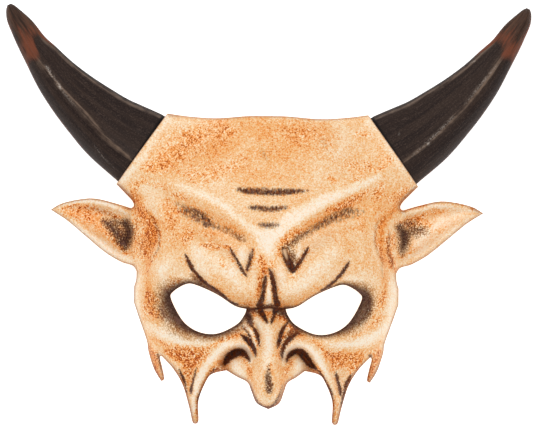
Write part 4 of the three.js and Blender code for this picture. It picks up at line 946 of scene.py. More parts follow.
# for the thin orange wash in the hollows, and painted shade under brows, pads, pouches and the nose tip
washAndShadeStrokes = [
    ("crown", 0.6, 14, [(-64, 36, 8), (-48, 42, 12), (-24, 44, 10), (0, 40, 10), (28, 46, 9)]),
    ("topEdge", 0.6, 8, [(-42, 62, 2), (-14, 60, 5), (20, 58, 6), (44, 56, 3)]),
    ("middle", 0.5, 10, [(-30, 25, 3), (-6, 26, 4), (20, 24, 4)]),
    ("rightCrown", 0.35, 12, [(50, 40, 4), (64, 36, 6), (76, 34, 3)]),
    ("leftBrow", 0.6, 7, [(-68, 10, 2), (-54, 5, 4), (-38, -3, 4), (-22, -11, 3), (-10, -14, 2)]),
    ("rightBrow", 0.7, 6, [(76, 14, 2), (60, 6, 4), (44, 0, 4), (28, -9, 3.6), (14, -17, 3), (8, -25, 1.4)]),
    ("leftTemple", 1.0, 3.4, [(-90, 11, 1.6), (-84, 0, 4), (-79, -8, 5), (-79, -18, 5), (-82, -26, 3),
                              (-81, -38, 1.6), (-79.6, -50, 1.6), (-79, -60, 2)]),
    ("leftPocket", 0.7, 4, [(-78, -56, 2), (-78, -66, 3), (-72, -74, 1)]),
    ("rightTemple", 1.0, 2.8, [(89, 8, 1.2), (82, -1, 2.6), (77.6, -9, 3), (76.8, -18, 3), (79, -26, 2),
                               (81, -36, 1.4), (80.6, -48, 1.6), (79.6, -60, 1.6)]),
    ("rightEarLine", 1.0, 1.8, [(84, -14, 0.8), (83, -22, 1.4), (85, -32, 1.6), (87.6, -38, 0.8)]),
    ("browBand", 0.65, 4, [(53.6, -10, 1), (54, -17, 1.8), (58, -24, 2), (60, -34, 1)]),
    ("browBandRight", 0.5, 4, [(68, -16, 1), (68, -24, 2), (66, -36, 1.6)]),
    ("leftBand", 0.55, 4, [(-58, -20, 1.6), (-66, -24, 1.8), (-72, -28, 1)]),
    ("leftPadFoot", 0.6, 5, [(-34, -50, 1.4), (-22, -57, 2.4), (-10, -60, 2)]),
    ("rightPadFoot", 0.6, 4, [(38, -49, 1), (26, -56, 1.6), (12, -61, 1.6)]),
    ("furrow", 1.0, 3, [(-3, -30, 1.6), (-3.6, -44, 2.4), (-5, -58, 2.4)]),
    ("leftEar", 0.7, 4, [(-134, 0, 1.4), (-120, -2, 3.4), (-106, -10, 5), (-95, -16, 6)]),
    ("rightEar", 0.6, 5, [(126, 2, 1), (112, -2, 2.4), (98, -8, 4), (90, -18, 4)]),
    ("leftEarTopEdge", 0.6, 2, [(-97, 3, 0.6), (-88, 3, 1.4), (-84, -2, 1.6)]),
    ("rightEarTopEdge", 0.75, 1.8, [(88, 4, 0.8), (95, 3.4, 1.2), (106, 6.6, 0.8), (118, 8.8, 0.6),
                                    (138, 6.6, 0.5)]),
    ("leftCheek", 0.9, 4, [(-67, -94, 1.4), (-54, -97, 5), (-45, -96, 3)]),
    ("leftCheekDown", 0.8, 3.6, [(-53, -102, 4), (-51.6, -112, 1.4), (-50.6, -120, 0.6)]),
    ("rightCheek", 0.85, 4, [(42, -96, 1.6), (52, -99, 4.6), (66, -96, 2)]),
    ("rightCheekDown", 0.5, 3, [(44, -104, 1.6), (47, -112, 1.4), (48, -122, 1.2)]),
    ("leftArchInner", 1.0, 2.4, [(-27.4, -103.6, 0.8), (-33, -101.4, 1.4), (-37.6, -107, 1), (-42, -115, 0.9),
                                 (-45.6, -125, 0.9), (-46.6, -138, 0.8)]),
    ("leftArchInnerDeep", 0.8, 1.6, [(-29.6, -99.6, 0.6), (-33.6, -103, 1), (-38, -109, 0.4)]),
    ("rightArchInner", 0.9, 2, [(31, -99.6, 0.6), (36, -104.6, 1), (41, -112, 0.8), (45, -121, 0.8),
                                (45.8, -138, 0.7)]),
    ("leftLobeSide", 0.9, 2.2, [(-20, -96.6, 0.8), (-14, -99, 1.4), (-11.4, -105, 1.4), (-12, -112, 0.6)]),
    ("rightLobeSide", 0.9, 2.2, [(22, -95.6, 0.7), (17, -99, 1.4), (14.4, -105, 1.2), (14.6, -111, 0.5)]),
    ("leftNoseSide", 0.7, 2.6, [(-6, -92, 0.8), (-8.6, -99, 1.2), (-9.4, -108, 1.4), (-8, -118, 1)]),
    ("rightNoseSide", 0.85, 2.6, [(8.6, -90, 0.8), (10.4, -99, 1.2), (12, -108, 1.4), (11.6, -116, 1)]),
    ("rightGroove", 1.0, 2.6, [(26, -82.6, 0.8), (19, -79.4, 2.2), (13.6, -83, 1.6), (11, -90, 1)]),
    ("leftGroove", 0.8, 2.4, [(-24, -83, 0.8), (-17, -82, 1.4), (-10.4, -89, 1.6), (-8, -96, 0.6)]),
    ("root", 0.9, 2.6, [(-11, -67, 1.6), (1.6, -68, 1.8), (14, -68.6, 1.8)]),
    ("noseTip", 0.4, 3.6, [(4.6, -106, 1.4), (5.4, -114, 2), (2, -122, 2)]),
    ("tipFoot", 0.6, 3, [(-7, -127.6, 0.8), (0, -130.6, 1), (7, -127.6, 0.8)]),
    ("leftPouchFoot", 0.6, 3, [(-76, -84, 1), (-66, -91, 1.4), (-50, -91.6, 1), (-38, -90.6, 1)]),
    ("rightPouchFoot", 0.5, 3, [(76, -88, 1), (66, -92, 1.4), (52, -92, 1), (43, -91, 1)]),
    ("shortProngLeft", 1.0, 2.6, [(-80, -93, 1.4), (-76, -99, 2.4), (-74.6, -107, 2), (-72.6, -113, 1.4)]),
    ("shortProngRight", 0.9, 2.6, [(77, -94, 1.2), (74.6, -100, 2), (72.4, -107, 1.4), (69.6, -112, 1.2)]),
    ("lidLeft", 0.55, 3.4, [(-66, -49, 0.8), (-57, -44.6, 1.2), (-49, -44, 0.6)]),
    ("leftFlank", 0.45, 8, [(-72, 14, 3), (-64, -4, 6), (-62, -18, 4)]),
    ("rightFlank", 0.45, 8, [(84, 14, 3), (66, -4, 5), (64, -14, 4)]),
]
# for the pale rubbed paint on ridges, and painted highlights on the raised places
paleAndHighlightStrokes = [
    ("leftCrest", 0.85, 2.6, [(-61, 19.6, 0.8), (-50, 14.8, 1.8), (-40, 10.8, 1.8), (-28, 4.2, 1.4),
                              (-18, -3, 1.6), (-9, -11, 2.6), (-2, -18, 4)]),
    ("rightCrest", 0.95, 3.0, [(76, 26, 0.9), (64, 20.2, 1.9), (52, 14.4, 2.6), (38, 9, 3.8), (26, 2.4, 4.4),
                               (14, -5.6, 4.8), (5, -15, 4)]),
    ("glabella", 1.0, 4.6, [(0, -13, 3), (0.6, -22, 4.4), (1, -28, 1.4)]),
    ("leftSeatEdge", 0.75, 3.4, [(-69, 64, 2), (-75, 54, 1.4), (-84, 40, 1.6), (-92, 29, 2), (-99, 20, 1.6)]),
    ("leftCorner", 0.6, 6, [(-66, 62, 2), (-58, 60, 2), (-44, 60, 1.4)]),
    ("leftUnderCollar", 0.45, 5, [(-86, 22, 1), (-76, 12, 3), (-74, 2, 2)]),
    ("rightSeatEdge", 0.6, 3.2, [(68, 64, 1.8), (76, 54, 1.4), (85, 41, 1.6), (93, 29, 1.8)]),
    ("rightForehead", 0.4, 9, [(46, 60, 3), (52, 50, 4), (48, 42, 2)]),
    ("foreheadSweep", 0.35, 8, [(-30, 36, 1), (-20, 38, 2), (-10, 48, 2)]),
    ("noseBridge", 1.0, 2.8, [(1, -75.4, 1.6), (1.6, -82, 2.6), (2, -90, 3), (1.4, -98, 2.2),
                              (-0.6, -104, 1.2)]),
    ("rootLeft", 0.85, 2, [(-6.4, -70.6, 1), (-4.6, -74, 1.8), (-2.6, -79, 1)]),
    ("furrowWedge", 0.95, 0.9, [(1.6, -44, 0.2), (1.6, -50, 1), (1.9, -57, 1.7), (1.2, -60.6, 0.8)]),
    ("leftArchTop", 0.95, 2.0, [(-10.6, -103, 0.8), (-9.6, -97, 1.2), (-12.6, -92, 1.4), (-18.6, -88.6, 1.4),
                                (-27, -89.4, 1.8), (-34, -95.6, 2.6), (-40, -103.6, 2.6), (-45, -112, 2.2),
                                (-48, -124, 1.4), (-49, -136, 0.8)]),
    ("rightArchTop", 0.9, 2.0, [(12.4, -102, 0.7), (12.6, -96, 1.1), (15.6, -91, 1.3), (21, -88.4, 1.4),
                                (28.4, -90, 1.8), (34.4, -96, 2.2), (38.6, -102.4, 2), (43.6, -112, 1.4),
                                (47, -122, 1)]),
    ("leftFold", 0.95, 0.8, [(-14.4, -75.4, 0.9), (-11.4, -78.6, 1), (-9, -82.6, 0.9), (-7, -88.6, 0.7),
                             (-6, -93, 0.4)]),
    ("rightFold", 0.6, 0.8, [(15.6, -77.6, 0.5), (12.6, -82.6, 0.6), (10.8, -88, 0.5)]),
    ("leftLobe", 0.85, 3, [(-21, -101, 1.4), (-19.4, -105, 2.4), (-15.6, -108.4, 1.4)]),
    ("rightLobe", 0.7, 2.6, [(22.4, -99.6, 1), (22, -104, 2.2), (19.4, -108, 1)]),
    ("leftPouch", 1.0, 3.6, [(-80, -77, 1.4), (-70, -82, 3), (-58, -86.4, 3), (-46, -88, 1.6),
                             (-36, -87, 0.8)]),
    ("rightPouch", 0.95, 3.4, [(82, -74, 1.4), (72, -84, 2.6), (60, -87.6, 2.6), (48, -88.6, 1.8),
                               (42, -86, 0.8)]),
    ("leftSide", 0.6, 3, [(-87, -44, 1), (-88, -56, 1.6), (-86, -70, 1.2)]),
    ("rightSide", 0.8, 3, [(85.6, -44, 1.4), (86.4, -56, 2), (83, -72, 1.8), (80, -84, 1)]),
    ("leftPadTop", 0.55, 5, [(-50, -24, 2), (-40, -30, 4), (-26, -40, 4), (-16, -50, 2)]),
    ("leftPadBack", 0.5, 4, [(-48, -22, 2), (-46, -34, 3), (-38, -42, 2)]),
    ("rightPadTop", 0.6, 5, [(46, -26, 3), (36, -36, 4.4), (24, -46, 3.6), (14, -52, 2)]),
    ("betweenFrowns", 0.7, 3, [(-17, -25, 2), (-15.6, -31, 1.6)]),
    ("rightWedge", 0.75, 1.6, [(22.6, -21, 1.4), (21.6, -26, 1.4), (20.6, -29, 0.6)]),
    ("padInnerLeft", 0.5, 3, [(-8, -40, 1.6), (-8.6, -50, 2)]),
    ("padInnerRight", 0.6, 3, [(10, -36, 1.6), (11, -48, 2.4)]),
    ("leftLid", 0.6, 3.6, [(-66, -32, 1.4), (-71, -38, 2.6), (-70, -45, 2)]),
    ("leftLidFront", 0.6, 2.4, [(-58, -42, 1.4), (-53, -44, 1)]),
    ("rightLid", 0.45, 4, [(66, -40, 1.6), (72, -44, 2.4)]),
    ("rightLidFront", 0.85, 1.8, [(53, -43.6, 0.8), (59, -43, 1.4), (65, -45.6, 0.8)]),
    ("noseTip", 0.6, 4, [(-2, -123, 1.6), (3, -126, 2.4), (6, -121, 1)]),
    ("leftEarTop", 0.95, 1.2, [(-141, 4.4, 0.4), (-128, 7, 1), (-114, 6.8, 1.2), (-103, 3.4, 1.2),
                               (-95, -0.2, 0.8)]),
    ("leftEarLow", 0.95, 2.4, [(-132, -8, 1), (-122, -15, 1.8), (-112, -22, 2.2), (-101, -29, 2),
                               (-92, -32.6, 1.6)]),
    ("rightEarTop", 0.8, 1.8, [(94, 0.6, 0.8), (104, 3.6, 1.4), (116, 6.4, 1.2), (130, 5, 1), (141, 3, 0.5)]),
    ("rightEarField", 0.8, 5, [(136, 0, 1), (124, -1, 2.6), (112, -10, 2.4), (104, -18, 2.6)]),
    ("rightEarLow", 0.6, 2.4, [(128, -8, 0.8), (116, -17, 1.6), (104, -26, 1.6), (92, -31, 1.4)]),
    ("cheekHollowLeft", 0.4, 3, [(-66, -72, 1), (-70, -78, 2)]),
]
# and for crisp brown lines
brownStrokes = [
    ("leftArc", 0.8, 0.5, [(-83, 3.4, 0.2), (-79.4, -1.4, 0.6), (-75.4, -7.6, 0.8), (-72.9, -15.5, 0.8),
                           (-73.3, -23.3, 0.6), (-78.4, -32.5, 0.2)]),
    ("rightArc", 0.5, 0.7, [(85.9, 2.2, 0.2), (79, -2.4, 0.6), (74.7, -7.4, 0.8), (73.3, -16.5, 0.8),
                            (74.7, -23.3, 0.7), (78.3, -32.5, 0.6), (78.9, -43.7, 0.2)]),
    ("rightEarRoot", 0.85, 0.6, [(83.4, -12, 0.3), (82.3, -17, 0.8), (82.8, -23, 1), (84, -29, 1),
                                 (86.6, -36.6, 0.3)]),
    ("leftWeb", 0.85, 1.8, [(-27, -104.4, 0.8), (-31, -104, 1.5), (-35, -105.8, 1.1), (-39, -110.6, 0.8),
                            (-43, -118, 0.8), (-45.6, -127, 0.5), (-46.2, -137, 0.2)]),
    ("rightWeb", 0.6, 1.2, [(30, -105.6, 0.6), (36, -107.6, 0.8), (41, -114, 0.5)]),
    ("leftGroove", 0.7, 1.2, [(-27, -81.4, 0.5), (-21, -79.6, 1), (-14, -77.4, 1.1), (-11.6, -73.6, 0.5)]),
    ("rightGroove", 0.7, 1.8, [(25, -81, 0.6), (19.4, -78.6, 1.6), (14.6, -82, 1.2), (12.4, -87, 0.6)]),
    ("noseRim", 0.9, 0.6, [(-11, -117, 0.2), (-8.6, -124, 0.6), (-4, -129.4, 0.9), (1.6, -131.4, 1),
                           (7.4, -128.6, 0.8), (11, -121, 0.3)]),
    ("leftEarTop", 0.6, 1.2, [(-123, 2.6, 0.4), (-116, 1.8, 1.1), (-109, 0, 1.3), (-103, -3, 0.6)]),
]
# Where the brown along the cut edge is broader
rimStrokes = [
    ("leftNotch", 1, 3, [(-103, 19.5, 2), (-98.7, 14.8, 3), (-93.9, 10, 3), (-91.2, 5.3, 2)]),
    ("rightNotch", 0.9, 3, [(102.5, 19.2, 2), (97.8, 15, 3), (93, 11, 3), (90.4, 6.2, 2), (92, 3.5, 2)]),
    ("leftEarTip", 0.9, 2, [(-148.3, 2.8, 2), (-143.5, 5.5, 1)]),
    ("rightEarTip", 0.9, 2, [(136.6, 7.3, 1), (141.4, 5.3, 2), (146.2, 2.6, 1)]),
    ("leftEarRoot", 0.8, 2, [(-98, 5, 1), (-93.2, 3.2, 2)]),
    ("leftCollarTop", 0.8, 2, [(-69.9, 67.4, 2), (-65.2, 67.4, 2), (-59.7, 66.4, 1)]),
]
# Reach of the smoke at each point of an eye hole
eyeSmoke = {"right": [1.7, 0.8, 0.8, 1.1, 1.8, 4.8, 5.8, 5.0, 2.2, 1.7, 1.9, 2.1, 1.7],
            "left": [1.7, 1.0, 1.1, 1.8, 2.4, 5.2, 7.6, 6.8, 3.4, 2.9, 2.6, 2.2, 1.7]}
paintStrokes = {"soot": sootStrokes, "rust": rustStrokes, "washAndShade": washAndShadeStrokes, "paleAndHighlight": paleAndHighlightStrokes}
paintPlan = {
    # size and reach of the unsteady hand, for each paint
    "wander": {"soot": (1.4, 0.35), "rust": (4, 1.3), "washAndShade": (6, 1.6), "paleAndHighlight": (5, 0.8), "burnt": (5, 0.8)},
    "sootHalo": {"washAndShade": (0.7, 2.2), "rust": (0.35, 1.2)},     # share and added softness round the soot
    "burntHalo": 0.9, "burntRound": (1.8, 0.8),                # brown round the crisper soot lines alone
    "eyeSoot": 0.89, "eyeSootFall": 1.6, "eyeWash": 0.45, "eyeWashBeyond": 3,
    "rim": 0.8, "rimWidth": 1.0, "seatRimWidth": 0.45, "broadRim": 2.4,
    "lowRim": 0.2, "lowRimWider": 0.5, "lowRimFrom": (-96, -106),
    "hatchedAbove": (-22, -8), "hatchedInside": (84, 74),      # where the airbrush left slanting hatches
    "leastGrit": 0.35, "gritFrom": (3, 13),                    # the soot is smoother beside the eyes
    "paintedFrom": (0.8, 2.2),                                 # height over the back where paint starts
}


def wander(x, y, size, by, seed):
    return x + by * valueNoise(x, y, size, seed), y + by * valueNoise(x, y, size, seed + 1)


def brush(x, y, points, soft):
    # how full the paint is: whole within the half width, gone a little way outside it
    line = curve(points, 5)
    reach = line[:, 2].max() + soft
    low, high = line[:, :2].min(axis=0) - reach, line[:, :2].max(axis=0) + reach
    close = (x > low[0]) & (x < high[0]) & (y > low[1]) & (y < high[1])
    px, py = x[close], y[close]
    fullest = np.zeros(px.shape)
    for (ax, ay, aw), (bx, by, bw) in zip(line[:-1], line[1:]):
        dx, dy = bx - ax, by - ay
        t = np.clip(((px - ax) * dx + (py - ay) * dy) / max(dx * dx + dy * dy, 1e-9), 0, 1)
        width = aw + (bw - aw) * t
        distance = np.hypot(px - ax - t * dx, py - ay - t * dy)
        full = smooth(-soft, soft, width - distance) * smooth(-0.4 * soft, 0.6 * soft, width)
        fullest = np.maximum(fullest, full)
    laid = np.zeros(x.shape)
    laid[close] = fullest
    return laid


def paintLayers(x, y, edges):
    p = paintPlan
    layers = {name: np.zeros(x.shape) for name in (*paintStrokes, "burnt")}

    def add(layer, shape):
        layers[layer] = 1 - (1 - layers[layer]) * (1 - np.clip(shape, 0, 1))

    for layer, strokesOfPaint in paintStrokes.items():
        px, py = wander(x, y, *p["wander"][layer], 40)
        for name, strength, soft, line in strokesOfPaint:
            add(layer, strength * brush(px, py, line, soft))
    px, py = wander(x, y, *p["wander"]["burnt"], 40)
    for name, strength, soft, line in sootStrokes:
        for layer, (share, softer) in p["sootHalo"].items():
            add(layer, share * strength * brush(x, y, line, soft + softer))
        crisp = smooth(*p["burntRound"], soft)
        add("burnt", strength * crisp * brush(px, py, line, soft + p["burntHalo"]))
    for name, strength, soft, line in brownStrokes:
        add("burnt", strength * brush(px, py, line, soft))
    reachOf = {side: np.interp(edges["eyeShare"], eyeShares, eyeSmoke[side]) for side in eyeSmoke}
    reach = np.where(x > 0, reachOf["right"], reachOf["left"])
    add("soot", p["eyeSoot"] * np.exp(-((edges["eye"] / reach) ** p["eyeSootFall"])))
    add("washAndShade", p["eyeWash"] * np.exp(-((edges["eye"] / (reach + p["eyeWashBeyond"])) ** 2)))
    onSeat = nextToSeat(edges)
    lower = smooth(*p["lowRimFrom"], y)
    rimWidth = np.where(onSeat, p["seatRimWidth"], p["rimWidth"] + p["lowRimWider"] * lower)
    layers["rim"] = (p["rim"] + p["lowRim"] * lower) * np.exp(-((edges["outer"] / rimWidth) ** 2))
    broader = np.exp(-((edges["outer"] / p["broadRim"]) ** 3)) * ~onSeat
    for name, strength, soft, line in rimStrokes:
        layers["rim"] = np.maximum(layers["rim"], strength * broader * brush(x, y, line, soft))
    layers["hatched"] = smooth(*p["hatchedAbove"], y) * smooth(*p["hatchedInside"], np.abs(x))
    layers["gritty"] = p["leastGrit"] + (1 - p["leastGrit"]) * smooth(*p["gritFrom"], edges["eye"])
    return layers


def eyePointShares():
    line = curve(eyeHole, 12)
    runs = np.concatenate([[0], np.cumsum(np.hypot(*np.diff(line, axis=0).T))])
    return runs[::12] / runs[-1]


def setAttribute(thing, name, values):
    layer = thing.data.attributes.get(name) or thing.data.attributes.new(name, "FLOAT", "POINT")
    layer.data.foreach_set("value", np.asarray(values, np.float32).ravel())


def positions(thing):
    flat = np.empty(len(thing.data.vertices) * 3)
    thing.data.vertices.foreach_get("co", flat)
    return flat.reshape(-1, 3) / mm


eyeShares = eyePointShares()
points = positions(face)
faceX, faceY, faceZ = points.T
faceEdges = edgesAt(faceX, faceY)
for name, values in paintLayers(faceX, faceY, faceEdges).items():
    setAttribute(face, name, values)
below = backHeight(faceX, faceY)
setAttribute(face, "painted", smooth(*paintPlan["paintedFrom"], faceZ - np.maximum(below, 0)))
print("paint laid on")


def node(tree, kind, links=(), **settings):
    made = tree.nodes.new(kind)
    for key, value in settings.items():
        if key in made.inputs:
            made.inputs[key].default_value = value
        else:
            setattr(made, key, value)
    for source, target in links:
        tree.links.new(source, made.inputs[target])
    return made


def attributeOf(tree, name):
    return node(tree, "ShaderNodeAttribute", attribute_name=name).outputs["Fac"]


def maths(tree, operation, a, b=None, c=None):
    made = node(tree, "ShaderNodeMath", operation=operation)
    for slot, value in enumerate((a, b, c)):
        if value is None:
            continue
        if isinstance(value, (int, float)):
            made.inputs[slot].default_value = value
        else:
            tree.links.new(value, made.inputs[slot])
    return made.outputs[0]


def ramp(tree, value, low, high):
    made = node(tree, "ShaderNodeMapRange", [(value, "Value")], interpolation_type="SMOOTHSTEP")
    made.inputs["From Min"].default_value = low
    made.inputs["From Max"].default_value = high
    return made.outputs[0]


def mixColour(tree, share, a, b):
    made = node(tree, "ShaderNodeMix", data_type="RGBA")
    for slot, value in ((0, share), (6, a), (7, b)):
        if isinstance(value, (int, float, tuple)):
            made.inputs[slot].default_value = value
        else:
            tree.links.new(value, made.inputs[slot])
    return made.outputs[2]


def hexColour(code):
    parts = [int(code[i:i + 2], 16) / 255 for i in (0, 2, 4)]
    return tuple(p / 12.92 if p <= 0.04045 else ((p + 0.055) / 1.055) ** 2.4 for p in parts) + (1.0,)


def noise(tree, coordinates, scale, detail=3, roughness=0.6, stretch=None, turn=0.0):
    source = coordinates
    if stretch:
        mapped = node(tree, "ShaderNodeMapping", [(coordinates, "Vector")])
        mapped.inputs["Scale"].default_value = stretch
        mapped.inputs["Rotation"].default_value = (0, 0, turn)
        source = mapped.outputs[0]
    made = node(tree, "ShaderNodeTexNoise", [(source, "Vector")],
                Scale=scale, Detail=detail, Roughness=roughness)
    return made.outputs["Fac"]


latexPaint = {
    "tones": [(0.0, "FFF0DC"), (0.2, "FDDFB9"), (0.42, "F5C794"), (0.58, "F3B269"), (0.76, "EE8630"),
              (1.0, "9A3A08")],
    "rustTones": [(0.0, "FFE9C6"), (0.3, "FDCB8E"), (0.54, "F8A54E"), (0.78, "EA7D22"), (1.0, "A03C06")],
    "tone": 0.39, "cloud": 0.5, "washAndShade": 0.3, "paleAndHighlight": 0.39, "rust": 0.08, "allRust": 0.7,
    "speckle": 1.4, "rustSpeckle": 2.6, "crackle": 0.4, "rustCrackle": 2.1, "mottle": 0.3,
    "sizes": {"speckle": 1000, "crackle": 560, "hatch": 820, "mottle": 260, "cloud": 42},
    "umber": "8C4516", "umberShare": 0.85, "rim": "85361A", "rimShare": 0.8,
    "soot": "3A2420", "smoke": "644840", "burntSoot": "6E3412", "sootEdge": "96553A", "sootEdgeShare": 0.4,
    "grain": 1.5, "grainMottle": 0.5,            # what breaks the soot up
    "sootBreak": 0.35, "edgeBreak": 5.0, "sootFill": 1.7,
    "inside": "EBCBA3", "insideDark": "DDB388",
    "roughness": 0.38, "roughMottle": 0.25, "gloss": 0.2, "sootGloss": 0.04,
    "bump": 0.55, "bumpDepth": 0.0007,
    "subsurface": 0.05, "subsurfaceRadius": (1.0, 0.5, 0.3), "subsurfaceScale": 0.002,
}


def toneRamp(tree, value, stops):
    made = node(tree, "ShaderNodeValToRGB", [(value, "Fac")])
    line = made.color_ramp.elements
    while len(line) < len(stops):
        line.new(0.5)
    for element, (place, code) in zip(line, stops):
        element.position = place
        element.color = hexColour(code)
    return made.outputs[0]


def around(tree, value, gain):
    # a noise as a swing about nothing
    return maths(tree, "MULTIPLY", maths(tree, "SUBTRACT", value, 0.5), gain)


def latexMaterial():
    p = latexPaint
    material = bpy.data.materials.new("paintedLatex")
    material.use_nodes = True
    tree = material.node_tree
    tree.nodes.clear()
    place = node(tree, "ShaderNodeTexCoord").outputs["Object"]
    sizes = p["sizes"]
    speckle = noise(tree, place, sizes["speckle"], 2, 0.6)
    crackle = noise(tree, place, sizes["crackle"], 2, 0.65, (1, 0.6, 1), 0.7)
    mottle = noise(tree, place, sizes["mottle"], 3, 0.6)
    hatch = noise(tree, place, sizes["hatch"], 2, 0.7, (1, 0.45, 1))
    cloud = noise(tree, place, sizes["cloud"], 4, 0.6)
    laid = {name: attributeOf(tree, name) for name in (*paintStrokes, "burnt", "rim", "hatched", "gritty",
                                                       "painted")}
    soot, rust = laid["soot"], laid["rust"]

    # the skin: one tone, darkened and lightened by the paints, read off two ramps
    tone = maths(tree, "ADD", p["tone"], around(tree, cloud, p["cloud"]))
    # this layer darkens the tone: orange wash paint and painted shade
    tone = maths(tree, "MULTIPLY_ADD", laid["washAndShade"], p["washAndShade"], tone)
    # this layer lightens the tone: rubbed paint and painted highlight
    tone = maths(tree, "MULTIPLY_ADD", laid["paleAndHighlight"], -p["paleAndHighlight"], tone)
    tone = maths(tree, "MULTIPLY_ADD", rust, p["rust"], tone)
    for layer, plain, rusted in ((speckle, "speckle", "rustSpeckle"), (crackle, "crackle", "rustCrackle"),
                                 (mottle, "mottle", "mottle")):
        gain = maths(tree, "MULTIPLY_ADD", rust, p[rusted], p[plain])
        tone = maths(tree, "MULTIPLY_ADD", maths(tree, "SUBTRACT", layer, 0.5), gain, tone)
    colour = mixColour(tree, ramp(tree, rust, 0.0, p["allRust"]), toneRamp(tree, tone, p["tones"]),
                       toneRamp(tree, tone, p["rustTones"]))
    rim = maths(tree, "MULTIPLY", laid["rim"], p["rimShare"])
    colour = mixColour(tree, rim, colour, hexColour(p["rim"]))
    burnt = maths(tree, "MULTIPLY", laid["burnt"], ramp(tree, speckle, 0.3, 0.55))
    colour = mixColour(tree, maths(tree, "MULTIPLY", burnt, p["umberShare"]), colour, hexColour(p["umber"]))

    # the soot: broken up most where it is half laid
    grain = mixColour(tree, laid["hatched"], speckle, hatch)
    grain = maths(tree, "ADD", around(tree, grain, p["grain"]), around(tree, mottle, p["grainMottle"]))
    grain = maths(tree, "MULTIPLY", grain, laid["gritty"])
    edge = maths(tree, "MULTIPLY", soot, maths(tree, "SUBTRACT", 1.0, soot))
    broken = maths(tree, "MULTIPLY", grain, maths(tree, "MULTIPLY_ADD", edge, p["edgeBreak"], p["sootBreak"]))
    share = node(tree, "ShaderNodeClamp", [(maths(tree, "ADD", soot, broken), "Value")]).outputs[0]
    share = maths(tree, "MULTIPLY", share, ramp(tree, soot, 0.0, 0.08))
    bare = maths(tree, "POWER", maths(tree, "SUBTRACT", 1.0, share), p["sootFill"])
    share = maths(tree, "SUBTRACT", 1.0, bare)
    edgeShare = maths(tree, "MULTIPLY", share, p["sootEdgeShare"])
    colour = mixColour(tree, edgeShare, colour, hexColour(p["sootEdge"]))
    dark = mixColour(tree, ramp(tree, mottle, 0.45, 0.7), hexColour(p["soot"]), hexColour(p["smoke"]))
    browned = maths(tree, "MULTIPLY", laid["burnt"], ramp(tree, crackle, 0.42, 0.58))
    dark = mixColour(tree, browned, dark, hexColour(p["burntSoot"]))
    colour = mixColour(tree, share, colour, dark)

    # the bare latex of the inside
    stain = ramp(tree, maths(tree, "ADD", cloud, around(tree, mottle, 0.7)), 0.3, 0.9)
    inside = mixColour(tree, stain, hexColour(p["inside"]), hexColour(p["insideDark"]))
    colour = mixColour(tree, laid["painted"], inside, colour)

    grains = maths(tree, "MULTIPLY", speckle, 0.5)
    bumpHeight = maths(tree, "ADD", grains, maths(tree, "MULTIPLY", mottle, 0.5))
    bump = node(tree, "ShaderNodeBump", [(bumpHeight, "Height")], Strength=p["bump"], Distance=p["bumpDepth"])
    rough = maths(tree, "MULTIPLY_ADD", mottle, p["roughMottle"], p["roughness"])
    matte = maths(tree, "MAXIMUM", share, laid["rim"])
    gloss = maths(tree, "MULTIPLY_ADD", matte, p["sootGloss"] - p["gloss"], p["gloss"])
    shader = node(tree, "ShaderNodeBsdfPrincipled",
                  [(colour, "Base Color"), (rough, "Roughness"), (bump.outputs[0], "Normal"),
                   (gloss, "Specular IOR Level")])
    shader.inputs["Subsurface Weight"].default_value = p["subsurface"]
    shader.inputs["Subsurface Radius"].default_value = p["subsurfaceRadius"]
    shader.inputs["Subsurface Scale"].default_value = p["subsurfaceScale"]
    node(tree, "ShaderNodeOutputMaterial", [(shader.outputs[0], "Surface")])
    return material


def finishPiece(thing, material, cadNode, sharpAngle):
    thing.data.transform(Matrix.Translation((0, shiftY * mm, 0)))
    thing.data.materials.clear()
    thing.data.materials.append(material)
    thing.data.shade_smooth()
    thing.data.set_sharp_from_angle(angle=sharpAngle)
    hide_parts(cadNode)
    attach(thing, "root")


face.name = "paintedFace"
finishPiece(face, latexMaterial(), "mask_face", 1.0)
print("face painted")


hornPaint = {
    # the near-black colour is a painted shadow where the horn goes into the face
    "dark": "32251F", "upper": "241916", "grey": "52423A", "seamShadow": "0E0807", "worn": "C9BDB2",
    # ridge and edge are the colours of painted highlights on the ridge and along the upper edge
    "ridge": "806A5A", "edge": "6E5C50", "rim": "6E4330",
    "red": "74402C", "tip": "2B1E18", "tipLight": "5A3F31",
    "sizes": {"streak": 1.5, "broad": 0.22, "bands": 0.6, "tipStreak": 0.13, "redStreak": 0.17,
              "mottle": 170, "grain": 1000},
    "stretch": 0.05,                    # the streaks are this much finer across than along
    "roughness": 0.35, "roughStreak": 0.3, "gloss": 0.12,
    "bump": 0.5, "bumpDepth": 0.0006,
}
# Painted highlights, and worn and coloured places. Across a horn t runs from -1 on its upper edge to 1 on its
# lower edge.
hornMarks = {
    "line": 0.85, "lineHalf": 1.1,              # the painted highlight line on the ridge
    "band": 0.62, "bandHalf": (1.4, 3.4),       # the band of painted sheen and wear, wider on the left of the ridge
    # the painted highlight line just inside the upper edge
    "edgeAt": 2.2, "edgeHalf": 1.5,
    "rim": 0.75, "rimAt": 0.4, "rimHalf": 0.5,
    "wornTo": (112, 92), "edgeTo": (118, 100),
    "tipStart": {1: 100, -1: 96}, "tipPanel": {1: 5, -1: 12}, "tipBack": {1: 12, -1: 3},
    "redFrom": (128, 104), "redEdgeFrom": (136, 122),
}
